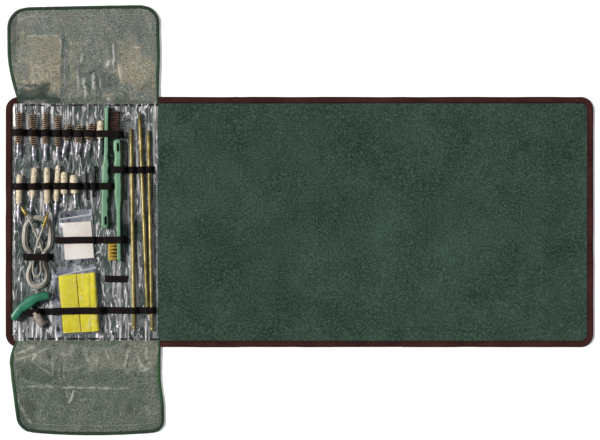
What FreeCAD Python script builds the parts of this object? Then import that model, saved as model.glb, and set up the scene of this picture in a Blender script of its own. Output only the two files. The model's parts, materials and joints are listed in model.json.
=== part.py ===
import FreeCAD, Part
import math
import os
import re
import Sketcher

# A roll-up cleaning kit, laid open. A long felt mat with a bound edge carries a tool panel at its left end.
# Two flaps are sewn to the tool panel, and elastic loops on the panel hold brushes, mops, tips, rods,
# a cable, a handle and two bags.
# Frame: +X along the mat towards its free end, +Y across it, +Z up. The origin is in the middle of the
# underside. All lengths are millimetres and all angles are degrees.

MAT = {
    "mat_left": -411, "mat_right": 411, "mat_half_width": 175, "mat_corner": 18,
    "fold_inner_x": -195, "fold_middle_x": 24, "fold_outer_x": 261, "fold_gap": 0.4,
    "wrap": 0.6, "binding_width": 9, "backing_top": 1.2, "felt_top": 3.0, "binding_top": 3.6,
    "vinyl_left": -401, "vinyl_right": -197, "vinyl_half_width": 165, "vinyl_top": 3.4,
    "flap_near": 176, "flap_corner": 24, "flap_top_left": -408, "flap_top_right": -196, "flap_top_far": 303,
    "flap_bottom_left": -405.5, "flap_bottom_right": -190, "flap_bottom_far": 298,
    "edging_width": 3.5, "flap_cloth_top": 1.2, "flap_top_height": 1.8,
    "hem_width": 9.5, "hem_height": 0.5, "hem_left": -395, "hem_right": -197,
    "rest_height": 4.4, "strap_width": 9.5, "strap_thickness": 0.8, "loop_clearance": 0.4,
    "arc_slack": 1.0001,
}

# Each slim tool: the end of its ferrule, its lean (anticlockwise from +Y), its whole length,
# the length of its head and the width of its head.
BRUSHES = {
    "brush_1": (-393.1, 90.4, -1.6, 65.4, 46.3, 10.0),
    "brush_2": (-370.7, 85.4, 2.6, 68.1, 48.4, 9.0),
    "brush_3": (-354.9, 85.4, 0.0, 70.0, 46.6, 7.6),
    "brush_4": (-338.0, 86.0, 0.0, 66.0, 47.8, 7.6),
    "brush_5": (-330.5, 89.6, -10.8, 49.6, 26.2, 9.9),
    "brush_6": (-311.5, 91.3, -6.6, 46.6, 27.6, 10.6),
    "brush_7": (-299.3, 91.0, -11.7, 50.0, 27.2, 12.1),
}
MOPS = {
    "mop_1": (-392.7, 0.0, -1.8, 67.2, 42.7, 9.0),
    "mop_2": (-375.2, 14.0, -5.4, 63.9, 44.2, 8.4),
    "mop_3": (-352.5, 14.0, 0.0, 63.6, 53.1, 9.0),
    "mop_4": (-341.0, 11.2, -3.5, 69.5, 52.4, 7.6),
    "mop_5": (-328.3, 20.6, 0.0, 50.8, 33.3, 9.9),
    "mop_6": (-312.2, 19.2, 4.0, 48.1, 28.4, 11.4),
    "mop_7": (-279.5, 95.2, -2.5, 47.7, 27.3, 10.0),
}
TIPS = {
    "spear_tip": (-296.2, 30.8, 4.4, 40.7, 28.0, 3.8),
    "slotted_tip": (-288.7, 34.3, -3.9, 44.2, 32.0, 5.3),
}
RODS = {
    "rod_1": (-231.0, -149.8, 0.88, 280.0, 268.0, 5.3),
    "rod_2": (-212.1, -128.8, 2.3, 280.0, 268.0, 5.3),
    "rod_3": (-205.9, -152.0, 1.03, 280.0, 268.0, 5.3),
}
SLIM_FIELDS = ("end_x", "end_y", "lean", "length", "head_length", "width")

# Radii and steps that the turned tools share. A bevel is as long as it is deep.
TURNED = {
    "thread_radius": 1.6, "thread_length": 7, "ferrule_radius": 1.9, "neck_radius": 1.2, "neck_length": 2,
    "bevel": 1, "brush_root": 1.2, "brush_root_length": 3, "brush_crown": 1.6, "brush_crown_length": 4,
    "mop_root": 1.4, "mop_root_length": 6, "mop_crown": 1.8, "mop_crown_length": 8,
    "tip_thread_radius": 1.4, "tip_thread_length": 8, "spear_groove_start": 12, "spear_groove_end": 18,
    "spear_nose_radius": 1.3, "spear_nose_length": 6, "slotted_nose_length": 4, "eye_width": 1.8,
    "eye_start": 22, "eye_end": 6, "rod_socket_radius": 1.95, "rod_socket_depth": 10,
    "rod_spigot_radius": 1.9, "rod_spigot_length": 8, "cable_radius": 1.7, "cable_bite": 2,
    "cable_thread_radius": 1.5, "cable_thread_length": 5,
}

# The two hand brushes share one handle. The end with the hang slot is placed, and the lean turns the handle.
HANDLE = {
    "handle_length": 170, "handle_height": 11.4, "grip_half_width": 7, "neck_half_width": 3.7,
    "grip_end": 76, "neck_start": 104, "neck_curve": 80, "handle_corner": 5, "wave_start": 14,
    "wave_length": 20, "wave_curve": 32, "slot_width": 3.6, "slot_length": 12, "slot_from_end": 5,
    "bristle_height": 9, "bristle_reach": 12.5, "bristle_inset": 1.2,
    "nylon_brush_end_x": -269.8, "nylon_brush_end_y": -9, "nylon_brush_lean": -0.7,
    "nylon_brush_from": 128, "nylon_brush_to": 164,
    "brass_brush_end_x": -252.6, "brass_brush_end_y": 115, "brass_brush_lean": 180.7,
    "brass_brush_from": 139, "brass_brush_to": 169,
}

# The cable hank is one closed solid: an upper and a lower loop that meet at a waist under its strap.
CABLE = {
    "hank_x": -365.6, "hank_waist_y": -49, "hank_top_y": 10, "hank_low_y": -94.5, "waist_half_width": 14,
    "upper_half_width": 21, "lower_half_width": 15.5, "hank_height": 8, "cable_end_width": 4.6,
    "cable_end_left_x": -379.4, "cable_end_left_y": 8.6, "cable_end_left_lean": 32,
    "cable_end_left_length": 15,
    "cable_end_right_x": -357, "cable_end_right_y": -8, "cable_end_right_lean": -20,
    "cable_end_right_length": 24,
}

TEE = {
    "tee_x": -377.5, "tee_y": -114, "tee_turn": 34, "grip_length": 62, "grip_depth": 15,
    "grip_tip_depth": 9, "grip_drop": 5, "grip_curve": 70, "grip_shoulder": 2, "grip_tip_curve": 1.4,
    "grip_height": 12.6, "tee_stem_width": 7, "tee_stem_start": 0, "socket_start": 14.4,
    "socket_length": 21.5, "socket_width": 11, "socket_bore": 4.2,
    "socket_bore_depth": 12, "swivel_pin_width": 4, "swivel_pin_length": 6,
    "swivel_clearance": 0.05, "socket_gap": 0.3,
}

BAGS = {
    "film": 0.3, "bag_contents_gap": 0.3,
    "patches_bag_x": -311.0, "patches_bag_y": -20, "patches_bag_lean": 4.3,
    "patches_bag_width": 47, "patches_bag_length": 73, "patches_bag_height": 2.8,
    "patches_x": 1.4, "patches_y": -6, "patches_width": 40, "patches_length": 51, "patches_height": 1.5,
    "cloth_bag_x": -311.8, "cloth_bag_y": -109.5, "cloth_bag_lean": 4.5,
    "cloth_bag_width": 64, "cloth_bag_length": 97, "cloth_bag_height": 9.6,
    "cloth_x": 4, "cloth_y": -4, "cloth_width": 52, "cloth_length": 82, "cloth_height": 8,
}

# Each strap: its left and right ends and its height across the mat.
STRAPS = {
    "strap_brushes": (-402.0, -245.0, 125.0),
    "strap_mops": (-402.0, -259.5, 49.6),
    "strap_rods": (-261.2, -202.0, 72.8),
    "strap_cable": (-386.5, -344.5, -49.0),
    "strap_patches": (-341.0, -240.0, -25.6),
    "strap_spare": (-272.0, -240.0, -79.8),
    "strap_bottom": (-382.0, -199.5, -123.6),
}
STRAP_FIELDS = ("left", "right", "level")

# The loops that do not follow one slim tool: left, right and the height of what they hold.
WIDE_LOOPS = {
    "loop_mop_nylon": (-284.5, -247.4, 11.4),
    "loop_nylon_grip": (-277.9, -261.6, 11.4),
    "loop_mops_4_5": (-343.3, -322.7, 9.9),
    "loop_brass_grip": (-259.7, -244.4, 11.4),
    "loop_cable": (-381.2, -349.8, 8.0),
    "loop_patches": (-338.0, -286.0, 2.8),
    "loop_brass_neck": (-275.0, -245.6, 11.4),
    "loop_tee": (-379.3, -360.4, 12.6),
    "loop_cloth": (-345.6, -275.8, 9.6),
    "loop_rods_2_3": (-216.4, -203.1, 5.3),
}
LOOP_FIELDS = ("left", "right", "height")

PARTS = {}
aliases = set()
doc = FreeCAD.newDocument("cleaning_kit")
sheet = doc.addObject("Spreadsheet::Sheet", "Sheet")


def add_cells(values):
    """Put each named value in its own row of the sheet."""
    for name, number in values.items():
        row = len(aliases) + 1
        sheet.set(f"A{row}", name.replace("_", " "))
        sheet.set(f"B{row}", str(number))
        sheet.setAlias(f"B{row}", name)
        aliases.add(name)


def add_table(table, fields):
    """Put a table in the sheet, one cell for each field of each row."""
    for name, numbers in table.items():
        add_cells({f"{name}_{field}": number for field, number in zip(fields, numbers)})


def bound(text):
    """The expression text with each cell's name pointing at the sheet."""
    return re.sub(r"[A-Za-z_]\w*", lambda word: "Sheet." * (word[0] in aliases) + word[0], str(text))


def amount(text):
    """The number that an expression over the sheet gives now."""
    result = sheet.evalExpression(str(text))
    return float(getattr(result, "Value", result))


def drive(thing, **properties):
    """Bind properties to expressions. A double underscore in a name stands for a dot."""
    for name, text in properties.items():
        thing.setExpression(name.replace("__", "."), bound(text))
    return thing


def place(thing, x, y, z, lean="0"):
    """Stand a piece at a point and turn it anticlockwise about +Z."""
    thing.setExpression("Placement.Rotation.Angle", f"({bound(lean)}) * 1 deg")
    return drive(thing, Placement__Base__x=x, Placement__Base__y=y, Placement__Base__z=z)


def keep(name, thing):
    """Make a finished object one of the kit's pieces."""
    thing.Label = name
    PARTS[name] = thing
    return thing


def new_body(name):
    body = doc.addObject("PartDesign::Body", f"body_{name}")
    body.AllowCompound = True
    return body


def arc_between(start, end, radius):
    """The arc from start to end. A positive radius turns left and a negative one turns right."""
    half = (end - start) * 0.5
    rise = math.sqrt(radius * radius - half.Length ** 2)
    side = FreeCAD.Vector(-half.y, half.x, 0).normalize()
    centre = start + half + side * math.copysign(rise, radius)
    first, last = (start, end) if radius > 0 else (end, start)
    angles = [math.atan2(point.y - centre.y, point.x - centre.x) for point in (first, last)]
    circle = Part.Circle(centre, FreeCAD.Vector(0, 0, 1), abs(radius))
    return Part.ArcOfCircle(circle, angles[0], angles[1])


def outline(body, points, level="0", role="XY_Plane"):
    """A closed sketch through points. A third item is the radius of the arc that leaves the point."""
    sketch = body.newObject("Sketcher::SketchObject", "outline")
    plane = next(item for item in body.Origin.OriginFeatures if item.Role == role)
    sketch.AttachmentSupport = [(plane, "")]
    sketch.MapMode = "FlatFace"
    drive(sketch, AttachmentOffset__Base__z=level)
    spots = [FreeCAD.Vector(amount(point[0]), amount(point[1]), 0) for point in points]
    count = len(points)
    leaving = []
    for index, point in enumerate(points):
        after = spots[(index + 1) % count]
        radius = amount(point[2]) if len(point) > 2 else None
        if radius is None:
            sketch.addGeometry(Part.LineSegment(spots[index], after))
        else:
            sketch.addGeometry(arc_between(spots[index], after, radius))
        leaving.append(2 if radius is not None and radius < 0 else 1)
    for index, point in enumerate(points):
        before = (index - 1) % count
        arriving = 3 - leaving[before]
        sketch.addConstraint(Sketcher.Constraint("Coincident", before, arriving, index, leaving[index]))
        for kind, text, number in (("DistanceX", point[0], spots[index].x),
                                   ("DistanceY", point[1], spots[index].y)):
            where = sketch.addConstraint(Sketcher.Constraint(kind, -1, 1, index, leaving[index], number))
            sketch.setExpression(f"Constraints[{where}]", bound(text))
        if len(point) > 2:
            where = sketch.addConstraint(Sketcher.Constraint("Radius", index, abs(amount(point[2]))))
            sketch.setExpression(f"Constraints[{where}]", bound(f"abs({point[2]})"))
    return sketch


def pad(body, points, low, high):
    """Add the outline's solid between two heights."""
    feature = body.newObject("PartDesign::Pad", "pad")
    feature.Profile = outline(body, points, low)
    return drive(feature, Length=f"({high}) - ({low})")


def pocket(body, points, low, high):
    """Cut the outline's solid between two heights."""
    profile = outline(body, points, low)
    feature = body.newObject("PartDesign::Pocket", "pocket")
    feature.Profile = profile
    feature.Reversed = True
    return drive(feature, Length=f"({high}) - ({low})")


def rectangle(left, right, low, high, left_corner=None, right_corner=None):
    """Points of a rectangle, with round corners on the ends that state a corner radius."""
    if left_corner:
        r = left_corner
        left_side = [(f"({left}) + ({r})", high, r), (left, f"({high}) - ({r})"),
                     (left, f"({low}) + ({r})", r), (f"({left}) + ({r})", low)]
    else:
        left_side = [(left, high), (left, low)]
    if right_corner:
        r = right_corner
        right_side = [(f"({right}) - ({r})", low, r), (right, f"({low}) + ({r})"),
                      (right, f"({high}) - ({r})", r), (f"({right}) - ({r})", high)]
    else:
        right_side = [(right, low), (right, high)]
    return left_side + right_side


def turned(name, stations):
    """A solid of revolution about +Y from (radius, distance) stations, from the axis back to the axis."""
    body = new_body(name)
    feature = body.newObject("PartDesign::Revolution", "turning")
    profile = outline(body, stations)
    feature.Profile = profile
    feature.ReferenceAxis = (profile, ["V_Axis"])
    feature.Angle = 360
    return body


def box(x, y, z, length, width, height):
    solid = doc.addObject("Part::Box", "box")
    return drive(solid, Placement__Base__x=x, Placement__Base__y=y, Placement__Base__z=z,
                 Length=length, Width=width, Height=height)


def joined(kind, solids):
    """A Part::MultiFuse or Part::Compound of several solids."""
    whole = doc.addObject(kind, "joined")
    setattr(whole, "Links" if kind == "Part::Compound" else "Shapes", solids)
    return whole


def cut(base, tool):
    result = doc.addObject("Part::Cut", "cut")
    result.Base = base
    result.Tool = tool
    return result


# ---- the mat: backing, felt and binding in four panels between the folds ----

PANELS = {
    "tool_panel": ("mat_left", "fold_inner_x - fold_gap / 2"),
    "inner": ("fold_inner_x + fold_gap / 2", "fold_middle_x - fold_gap / 2"),
    "middle": ("fold_middle_x + fold_gap / 2", "fold_outer_x - fold_gap / 2"),
    "outer": ("fold_outer_x + fold_gap / 2", "mat_right"),
}


def panel_outline(name, inset, overrun="0"):
    """A panel's outline set in from the mat's edges, and run on past its folds by overrun."""
    left, right = PANELS[name]
    corner = f"mat_corner - ({inset})"
    at_left = name == "tool_panel"
    at_right = name == "outer"
    low = f"({inset}) - mat_half_width"
    high = f"mat_half_width - ({inset})"
    return rectangle(f"{left} + ({inset})" if at_left else f"{left} - ({overrun})",
                     f"{right} - ({inset})" if at_right else f"{right} + ({overrun})",
                     low, high, corner if at_left else None, corner if at_right else None)


def make_mat():
    for name in PANELS:
        backing = keep(f"backing_{name}", new_body(f"backing_{name}"))
        pad(backing, panel_outline(name, "wrap"), "wrap", "backing_top")
        felt = keep(f"felt_{name}", new_body(f"felt_{name}"))
        pad(felt, panel_outline(name, "wrap"), "backing_top", "felt_top")
        binding = keep(f"binding_{name}", new_body(f"binding_{name}"))
        pad(binding, panel_outline(name, "0"), "0", "binding_top")
        pocket(binding, panel_outline(name, "binding_width", "wrap"), "0 - wrap", "binding_top + wrap")
        pocket(binding, panel_outline(name, "wrap", "wrap"), "wrap", "felt_top")


def make_vinyl():
    cover = keep("vinyl_cover", new_body("vinyl_cover"))
    reach = "vinyl_half_width"
    corner = "mat_corner - binding_width"
    pad(cover, rectangle("vinyl_left", "vinyl_right", f"0 - {reach}", reach, corner), "felt_top", "vinyl_top")


# ---- the two flaps, one along each long edge of the tool panel ----

def make_flaps():
    for side, sign in (("top", 1), ("bottom", -1)):
        def flap_outline(inset, near_extra="0"):
            near, far = f"flap_near - ({near_extra})", f"flap_{side}_far - ({inset})"
            left, right = f"flap_{side}_left + ({inset})", f"flap_{side}_right - ({inset})"
            r = f"(flap_corner - ({inset}))"
            if sign > 0:
                return [(left, near), (right, near), (right, f"{far} - {r}", r), (f"{right} - {r}", far),
                        (f"{left} + {r}", far, r), (left, f"{far} - {r}")]
            return [(left, f"0 - ({near})"), (left, f"{r} - ({far})", r), (f"{left} + {r}", f"0 - ({far})"),
                    (f"{right} - {r}", f"0 - ({far})", r), (right, f"{r} - ({far})"),
                    (right, f"0 - ({near})")]
        cloth = keep(f"flap_{side}", new_body(f"flap_{side}"))
        pad(cloth, flap_outline("edging_width"), "0", "flap_cloth_top")
        facing = keep(f"flap_{side}_vinyl", new_body(f"flap_{side}_vinyl"))
        pad(facing, flap_outline("edging_width"), "flap_cloth_top", "flap_top_height")
        edging = keep(f"flap_{side}_edging", new_body(f"flap_{side}_edging"))
        pad(edging, flap_outline("0"), "0", "flap_top_height")
        pocket(edging, flap_outline("edging_width", "wrap"), "0 - wrap", "flap_top_height + wrap")


def make_hems():
    """The strips of each flap that are sewn down along the tool panel's upper and lower edges."""
    strips = [box("hem_left", edge, "binding_top", "hem_right - hem_left", "hem_width", "hem_height")
              for edge in ("mat_half_width - hem_width", "0 - mat_half_width")]
    keep("flap_hems", joined("Part::Compound", strips))


# ---- elastic straps ----

def slim_loop(tool, strap):
    """The left, right and top of a loop round a slim tool where its strap crosses it."""
    middle = f"{tool}_end_x - tan({tool}_lean) * ({strap}_level - {tool}_end_y)"
    half = f"({tool}_width / 2 / cos({tool}_lean) + loop_clearance + strap_width / 2 * abs(tan({tool}_lean)))"
    return f"{middle} - {half}", f"{middle} + {half}", f"rest_height + {tool}_width + loop_clearance"


def wide_loop(name):
    return f"{name}_left", f"{name}_right", f"rest_height + {name}_height + loop_clearance"


LOOPS = {
    "strap_brushes": ["brush_1", "brush_2", "brush_3", "brush_4", "brush_5", "brush_6", "brush_7",
                      "loop_mop_nylon"],
    "strap_mops": ["mop_1", "mop_2", "mop_3", "loop_mops_4_5", "mop_6", "spear_tip", "slotted_tip",
                   "loop_nylon_grip"],
    "strap_rods": ["loop_brass_grip", "rod_1", "rod_2", "rod_3"],
    "strap_cable": ["loop_cable"],
    "strap_patches": ["loop_patches", "loop_brass_neck"],
    "strap_spare": [],
    "strap_bottom": ["loop_tee", "loop_cloth", "rod_1", "loop_rods_2_3"],
}


def make_straps():
    """Each strap lies on the vinyl between its loops and rises over what each loop holds."""
    for name, held in LOOPS.items():
        left, level = f"{name}_left", f"{name}_level"
        edge = f"{level} - strap_width / 2"
        ribbon = box(left, edge, "vinyl_top", f"{name}_right - {left}", "strap_width", "strap_thickness")
        outside, inside = [ribbon], []
        for item in held:
            low, high, top = wide_loop(item) if item in WIDE_LOOPS else slim_loop(item, name)
            wall = "strap_thickness"
            outside.append(box(f"{low} - {wall}", edge, "vinyl_top", f"({high}) - ({low}) + 2 * {wall}",
                               "strap_width", f"{top} + {wall} - vinyl_top"))
            inside.append(box(low, f"{edge} - wrap", "vinyl_top - wrap", f"({high}) - ({low})",
                              "strap_width + 2 * wrap", f"{top} - vinyl_top + wrap"))
        strap = joined("Part::MultiFuse", outside) if inside else ribbon
        if inside:
            strap = cut(strap, joined("Part::MultiFuse", inside) if len(inside) > 1 else inside[0])
        if "loop_tee" in held:
            strap = cut(strap, grip_solid("grip_space", "loop_clearance"))
        keep(name, strap)


# ---- slim tools: each is turned about its own axis, with its ferrule end at y = 0 ----

def stand(name, thing):
    return place(thing, f"{name}_end_x", f"{name}_end_y", f"rest_height + {name}_width / 2", f"{name}_lean")


def make_brushes():
    """A bore brush: a threaded ferrule, then bristles on a twisted wire core."""
    for name in BRUSHES:
        shoulder = f"{name}_length - {name}_head_length"
        ferrule = turned(f"{name}_ferrule", [
            ("0", "0"), ("thread_radius", "0"), ("thread_radius", "thread_length"),
            ("ferrule_radius", "thread_length"), ("ferrule_radius", f"{shoulder} - 2 * neck_length"),
            ("neck_radius", f"{shoulder} - neck_length"), ("neck_radius", shoulder), ("0", shoulder)])
        half, crown = f"{name}_width / 2", f"{name}_length - bevel"
        head = turned(f"{name}_head", [
            ("0", shoulder), (f"{half} - brush_root", shoulder), (half, f"{shoulder} + brush_root_length"),
            (half, f"{name}_length - brush_crown_length"), (f"{half} - brush_crown", crown), ("0", crown)])
        stand(name, keep(name, joined("Part::Compound", [ferrule, head])))


def make_mops():
    """A bore mop: a threaded ferrule with a cotton head that bulges in the middle."""
    for name in MOPS:
        shoulder = f"{name}_length - {name}_head_length"
        half = f"{name}_width / 2"
        ferrule = turned(f"{name}_ferrule", [
            ("0", "0"), ("thread_radius", "0"), ("thread_radius", "thread_length"),
            ("ferrule_radius", "thread_length"), ("ferrule_radius", shoulder), ("0", shoulder)])
        crown = f"{name}_length - bevel"
        head = turned(f"{name}_head", [
            ("0", shoulder), (f"{half} - mop_root", shoulder), (half, f"{shoulder} + mop_root_length"),
            (half, f"{name}_length - mop_crown_length"), (f"{half} - mop_crown", crown), ("0", crown)])
        stand(name, keep(name, joined("Part::Compound", [ferrule, head])))


def make_tips():
    """A ringed spear tip, and a tip with a slot that holds a patch."""
    shaft, core = "spear_tip_width / 2", "tip_thread_radius"
    spear = turned("spear_tip", [
        ("0", "0"), (core, "0"), (core, "tip_thread_length"), (shaft, "tip_thread_length"),
        (shaft, "spear_groove_start"), (core, "spear_groove_start + bevel"), (core, "spear_groove_end - bevel"),
        (shaft, "spear_groove_end"), (shaft, "spear_tip_head_length"),
        ("spear_nose_radius", "spear_tip_length - spear_nose_length"), ("0", "spear_tip_length")])
    stand("spear_tip", keep("spear_tip", spear))
    half = "slotted_tip_width / 2"
    slotted = turned("slotted_tip", [
        ("0", "0"), ("thread_radius", "0"), ("thread_radius", "tip_thread_length"),
        (half, "tip_thread_length + bevel"), (half, "slotted_tip_length - slotted_nose_length"),
        (core, "slotted_tip_length"), ("0", "slotted_tip_length")])
    eye = rectangle("0 - eye_width / 2", "eye_width / 2", "slotted_tip_length - eye_start",
                    "slotted_tip_length - eye_end")
    pocket(slotted, eye, f"0 - {half} - wrap", f"{half} + wrap")
    stand("slotted_tip", keep("slotted_tip", slotted))


def make_rods():
    """A rod section: a threaded spigot at its upper end and a threaded socket in its lower end."""
    for name in RODS:
        half, shoulder = f"{name}_width / 2", f"{name}_length - rod_spigot_length"
        rod = turned(name, [
            ("0", "rod_socket_depth"), ("rod_socket_radius", "rod_socket_depth"), ("rod_socket_radius", "0"),
            (half, "0"), (half, shoulder), ("rod_spigot_radius", shoulder),
            ("rod_spigot_radius", f"{name}_length"), ("0", f"{name}_length")])
        stand(name, keep(name, rod))


# ---- the two hand brushes ----

def make_hand_brushes():
    for name in ("nylon_brush", "brass_brush"):
        grip, neck, corner = "grip_half_width", "neck_half_width", "handle_corner"
        points = [(f"{corner} - {grip}", "0"), (f"{grip} - {corner}", "0", corner), (grip, corner)]
        for wave in range(4):
            points.append((grip, f"wave_start + {wave} * wave_length", "0 - wave_curve"))
        points += [(grip, "grip_end", "neck_curve"), (neck, "neck_start"),
                   (neck, f"handle_length - {neck}", f"{neck} * arc_slack"),
                   ("0", "handle_length", f"{neck} * arc_slack"), (f"0 - {neck}", f"handle_length - {neck}"),
                   (f"0 - {neck}", "neck_start", "neck_curve"), (f"0 - {grip}", "grip_end"),
                   (f"0 - {grip}", corner, corner)]
        handle = new_body(f"{name}_handle")
        pad(handle, points, "0", "handle_height")
        side = "slot_width / 2"
        pocket(handle, rectangle(f"0 - {side}", side, "slot_from_end", "slot_from_end + slot_length"),
               "0 - wrap", "handle_height + wrap")
        bristles = new_body(f"{name}_bristles")
        pad(bristles, rectangle(neck, f"{neck} + bristle_reach", f"{name}_from", f"{name}_to"),
            "bristle_inset", "bristle_inset + bristle_height")
        for piece, label in ((handle, f"{name}_handle"), (bristles, f"{name}_bristles")):
            place(keep(label, piece), f"{name}_end_x", f"{name}_end_y", "rest_height", f"{name}_lean")


# ---- the cable hank and its brass ends ----

def make_cable():
    hank = keep("cable_hank", new_body("cable_hank"))
    middle, waist = "hank_x", "waist_half_width"
    points = [(f"{middle} + {waist}", "hank_waist_y"),
              (f"{middle} + upper_half_width", "hank_top_y - upper_half_width", "upper_half_width * arc_slack"),
              (middle, "hank_top_y", "upper_half_width * arc_slack"),
              (f"{middle} - upper_half_width", "hank_top_y - upper_half_width"),
              (f"{middle} - {waist}", "hank_waist_y"),
              (f"{middle} - lower_half_width", "hank_low_y + lower_half_width", "lower_half_width * arc_slack"),
              (middle, "hank_low_y", "lower_half_width * arc_slack"),
              (f"{middle} + lower_half_width", "hank_low_y + lower_half_width")]
    pad(hank, points, "rest_height", "rest_height + hank_height")
    for side in ("left", "right"):
        name = f"cable_end_{side}"
        half, reach = "cable_end_width / 2", f"{name}_length"
        shoulder = f"{reach} - cable_thread_length"
        ferrule = turned(name, [
            ("0", "0"), ("cable_radius", "0"), ("cable_radius", "cable_bite"), (half, "cable_bite + bevel"),
            (half, shoulder), ("cable_thread_radius", shoulder), ("cable_thread_radius", reach), ("0", reach)])
        place(keep(name, ferrule), f"{name}_x", f"{name}_y",
              "rest_height + hank_height + loop_clearance + cable_end_width / 2", f"{name}_lean")


# ---- the T-handle: grip, stem and turning socket ----

def grip_solid(name, extra):
    """The T-handle's grip, a bar with drooping ends, grown all round by extra."""
    half, tip = f"(grip_length / 2 + {extra})", f"(grip_tip_depth / 2 + {extra})"
    low, crown = f"0 - {tip} - grip_drop", f"grip_depth / 2 + {extra}"
    shoulder = f"grip_tip_depth / 2 - grip_drop + grip_shoulder + {extra}"
    under, over = f"{tip} * arc_slack", f"{tip} * grip_tip_curve"
    points = [(f"{tip} - {half}", low, "0 - grip_curve"), (f"{half} - {tip}", low, under),
              (half, "0 - grip_drop", over), (f"{half} - {tip}", shoulder, "grip_curve"),
              ("0", crown, "grip_curve"), (f"{tip} - {half}", shoulder, over),
              (f"0 - {half}", "0 - grip_drop", under)]
    grip = new_body(name)
    pad(grip, points, f"0 - ({extra})", f"grip_height + {extra}")
    return place(grip, "tee_x", "tee_y", "rest_height", "tee_turn")


def make_tee():
    keep("tee_grip", grip_solid("tee_grip", "0"))
    bore = "swivel_pin_width / 2 + swivel_clearance"
    shoulder = "socket_start - socket_gap"
    stem = turned("tee_stem", [
        ("0", "tee_stem_start"), ("tee_stem_width / 2", "tee_stem_start"), ("tee_stem_width / 2", shoulder),
        ("swivel_pin_width / 2", shoulder), ("swivel_pin_width / 2", "socket_start + swivel_pin_length"),
        ("0", "socket_start + swivel_pin_length")])
    far = "socket_start + socket_length"
    socket = turned("tee_socket", [
        ("socket_width / 2", "socket_start"), ("socket_width / 2", far), ("socket_bore / 2", far),
        ("socket_bore / 2", f"{far} - socket_bore_depth"), ("0", f"{far} - socket_bore_depth"),
        ("0", "socket_start + swivel_pin_length + socket_gap"),
        (bore, "socket_start + swivel_pin_length + socket_gap"), (bore, "socket_start")])
    for name, piece in (("tee_stem", stem), ("tee_socket", socket)):
        place(keep(name, piece), "tee_x", "tee_y", "rest_height + grip_height / 2", "tee_turn + 180")


# ---- the two clear bags and what they hold ----

def make_bags():
    for bag, content in (("patches_bag", "patches"), ("cloth_bag", "cloth")):
        def centred(width, length, x="0", y="0"):
            return rectangle(f"{x} - ({width}) / 2", f"{x} + ({width}) / 2",
                             f"{y} - ({length}) / 2", f"{y} + ({length}) / 2")
        shell = new_body(bag)
        pad(shell, centred(f"{bag}_width", f"{bag}_length"), "0", f"{bag}_height")
        pocket(shell, centred(f"{bag}_width - 2 * film", f"{bag}_length - 2 * film"), "film",
               f"{bag}_height - film")
        inside = new_body(content)
        pad(inside, centred(f"{content}_width", f"{content}_length", f"{content}_x", f"{content}_y"),
            "film + bag_contents_gap", f"film + bag_contents_gap + {content}_height")
        for label, piece in ((bag, shell), (content, inside)):
            place(keep(label, piece), f"{bag}_x", f"{bag}_y", "rest_height", f"{bag}_lean")


def check_and_write():
    """Stop on any failed object or bad shape, then write each piece to its own file."""
    doc.recompute()
    for thing in doc.Objects:
        if {"Invalid", "Error"} & set(thing.State):
            raise RuntimeError(f"{thing.Label} failed: {thing.State}")
    for name, piece in PARTS.items():
        if piece.Shape.isNull() or not piece.Shape.isValid() or not piece.Shape.Solids:
            raise RuntimeError(f"{name} has a bad shape")
    os.makedirs("parts", exist_ok=True)
    for name, piece in PARTS.items():
        piece.Shape.exportStep(f"parts/{name}.step")
    print(f"{len(PARTS)} pieces written")


def main():
    for group in (MAT, TURNED, HANDLE, CABLE, TEE, BAGS):
        add_cells(group)
    for table in (BRUSHES, MOPS, TIPS, RODS):
        add_table(table, SLIM_FIELDS)
    add_table(STRAPS, STRAP_FIELDS)
    add_table(WIDE_LOOPS, LOOP_FIELDS)
    doc.recompute()
    for make in (make_mat, make_vinyl, make_flaps, make_hems, make_straps, make_brushes, make_mops, make_tips,
                 make_rods, make_hand_brushes, make_cable, make_tee, make_bags):
        make()
    check_and_write()


main()
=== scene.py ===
import json
import math

import bpy
import numpy as np
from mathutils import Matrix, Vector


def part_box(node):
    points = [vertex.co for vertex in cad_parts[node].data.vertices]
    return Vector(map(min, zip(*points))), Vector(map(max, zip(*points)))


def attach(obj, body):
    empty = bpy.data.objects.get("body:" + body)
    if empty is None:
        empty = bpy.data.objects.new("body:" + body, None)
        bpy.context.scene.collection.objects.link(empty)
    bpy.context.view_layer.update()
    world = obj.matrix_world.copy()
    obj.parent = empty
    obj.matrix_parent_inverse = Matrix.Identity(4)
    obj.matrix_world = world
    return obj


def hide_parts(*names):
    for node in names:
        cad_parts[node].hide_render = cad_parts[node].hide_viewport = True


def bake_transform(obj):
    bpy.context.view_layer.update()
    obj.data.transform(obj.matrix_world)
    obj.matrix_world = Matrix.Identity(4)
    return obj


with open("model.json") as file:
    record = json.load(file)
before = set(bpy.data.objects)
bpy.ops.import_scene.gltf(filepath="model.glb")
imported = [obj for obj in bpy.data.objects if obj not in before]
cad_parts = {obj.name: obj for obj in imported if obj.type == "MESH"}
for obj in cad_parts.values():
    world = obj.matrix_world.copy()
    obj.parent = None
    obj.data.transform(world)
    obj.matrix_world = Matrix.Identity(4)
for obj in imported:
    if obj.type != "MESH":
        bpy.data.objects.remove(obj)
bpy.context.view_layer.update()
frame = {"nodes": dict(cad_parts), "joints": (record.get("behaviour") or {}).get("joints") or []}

# The roll-up cleaning kit, laid open. Lengths are in millimetres, and MM turns them into metres.
MM = 0.001
rng = np.random.default_rng(7)
SHARP_ANGLE = math.radians(55)
UP = np.array([0.0, 0.0, 1.0])


def box(node):
    """A CAD node's lowest and highest corners at rest, in millimetres."""
    low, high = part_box(node)
    return np.array(low) / MM, np.array(high) / MM


def node_points(node):
    """A CAD node's points at rest, in millimetres."""
    return np.array([v.co for v in frame["nodes"][node].data.vertices]) / MM


def added(name, data):
    """A new object in the scene."""
    thing = bpy.data.objects.new(name, data)
    bpy.context.scene.collection.objects.link(thing)
    return thing


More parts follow.
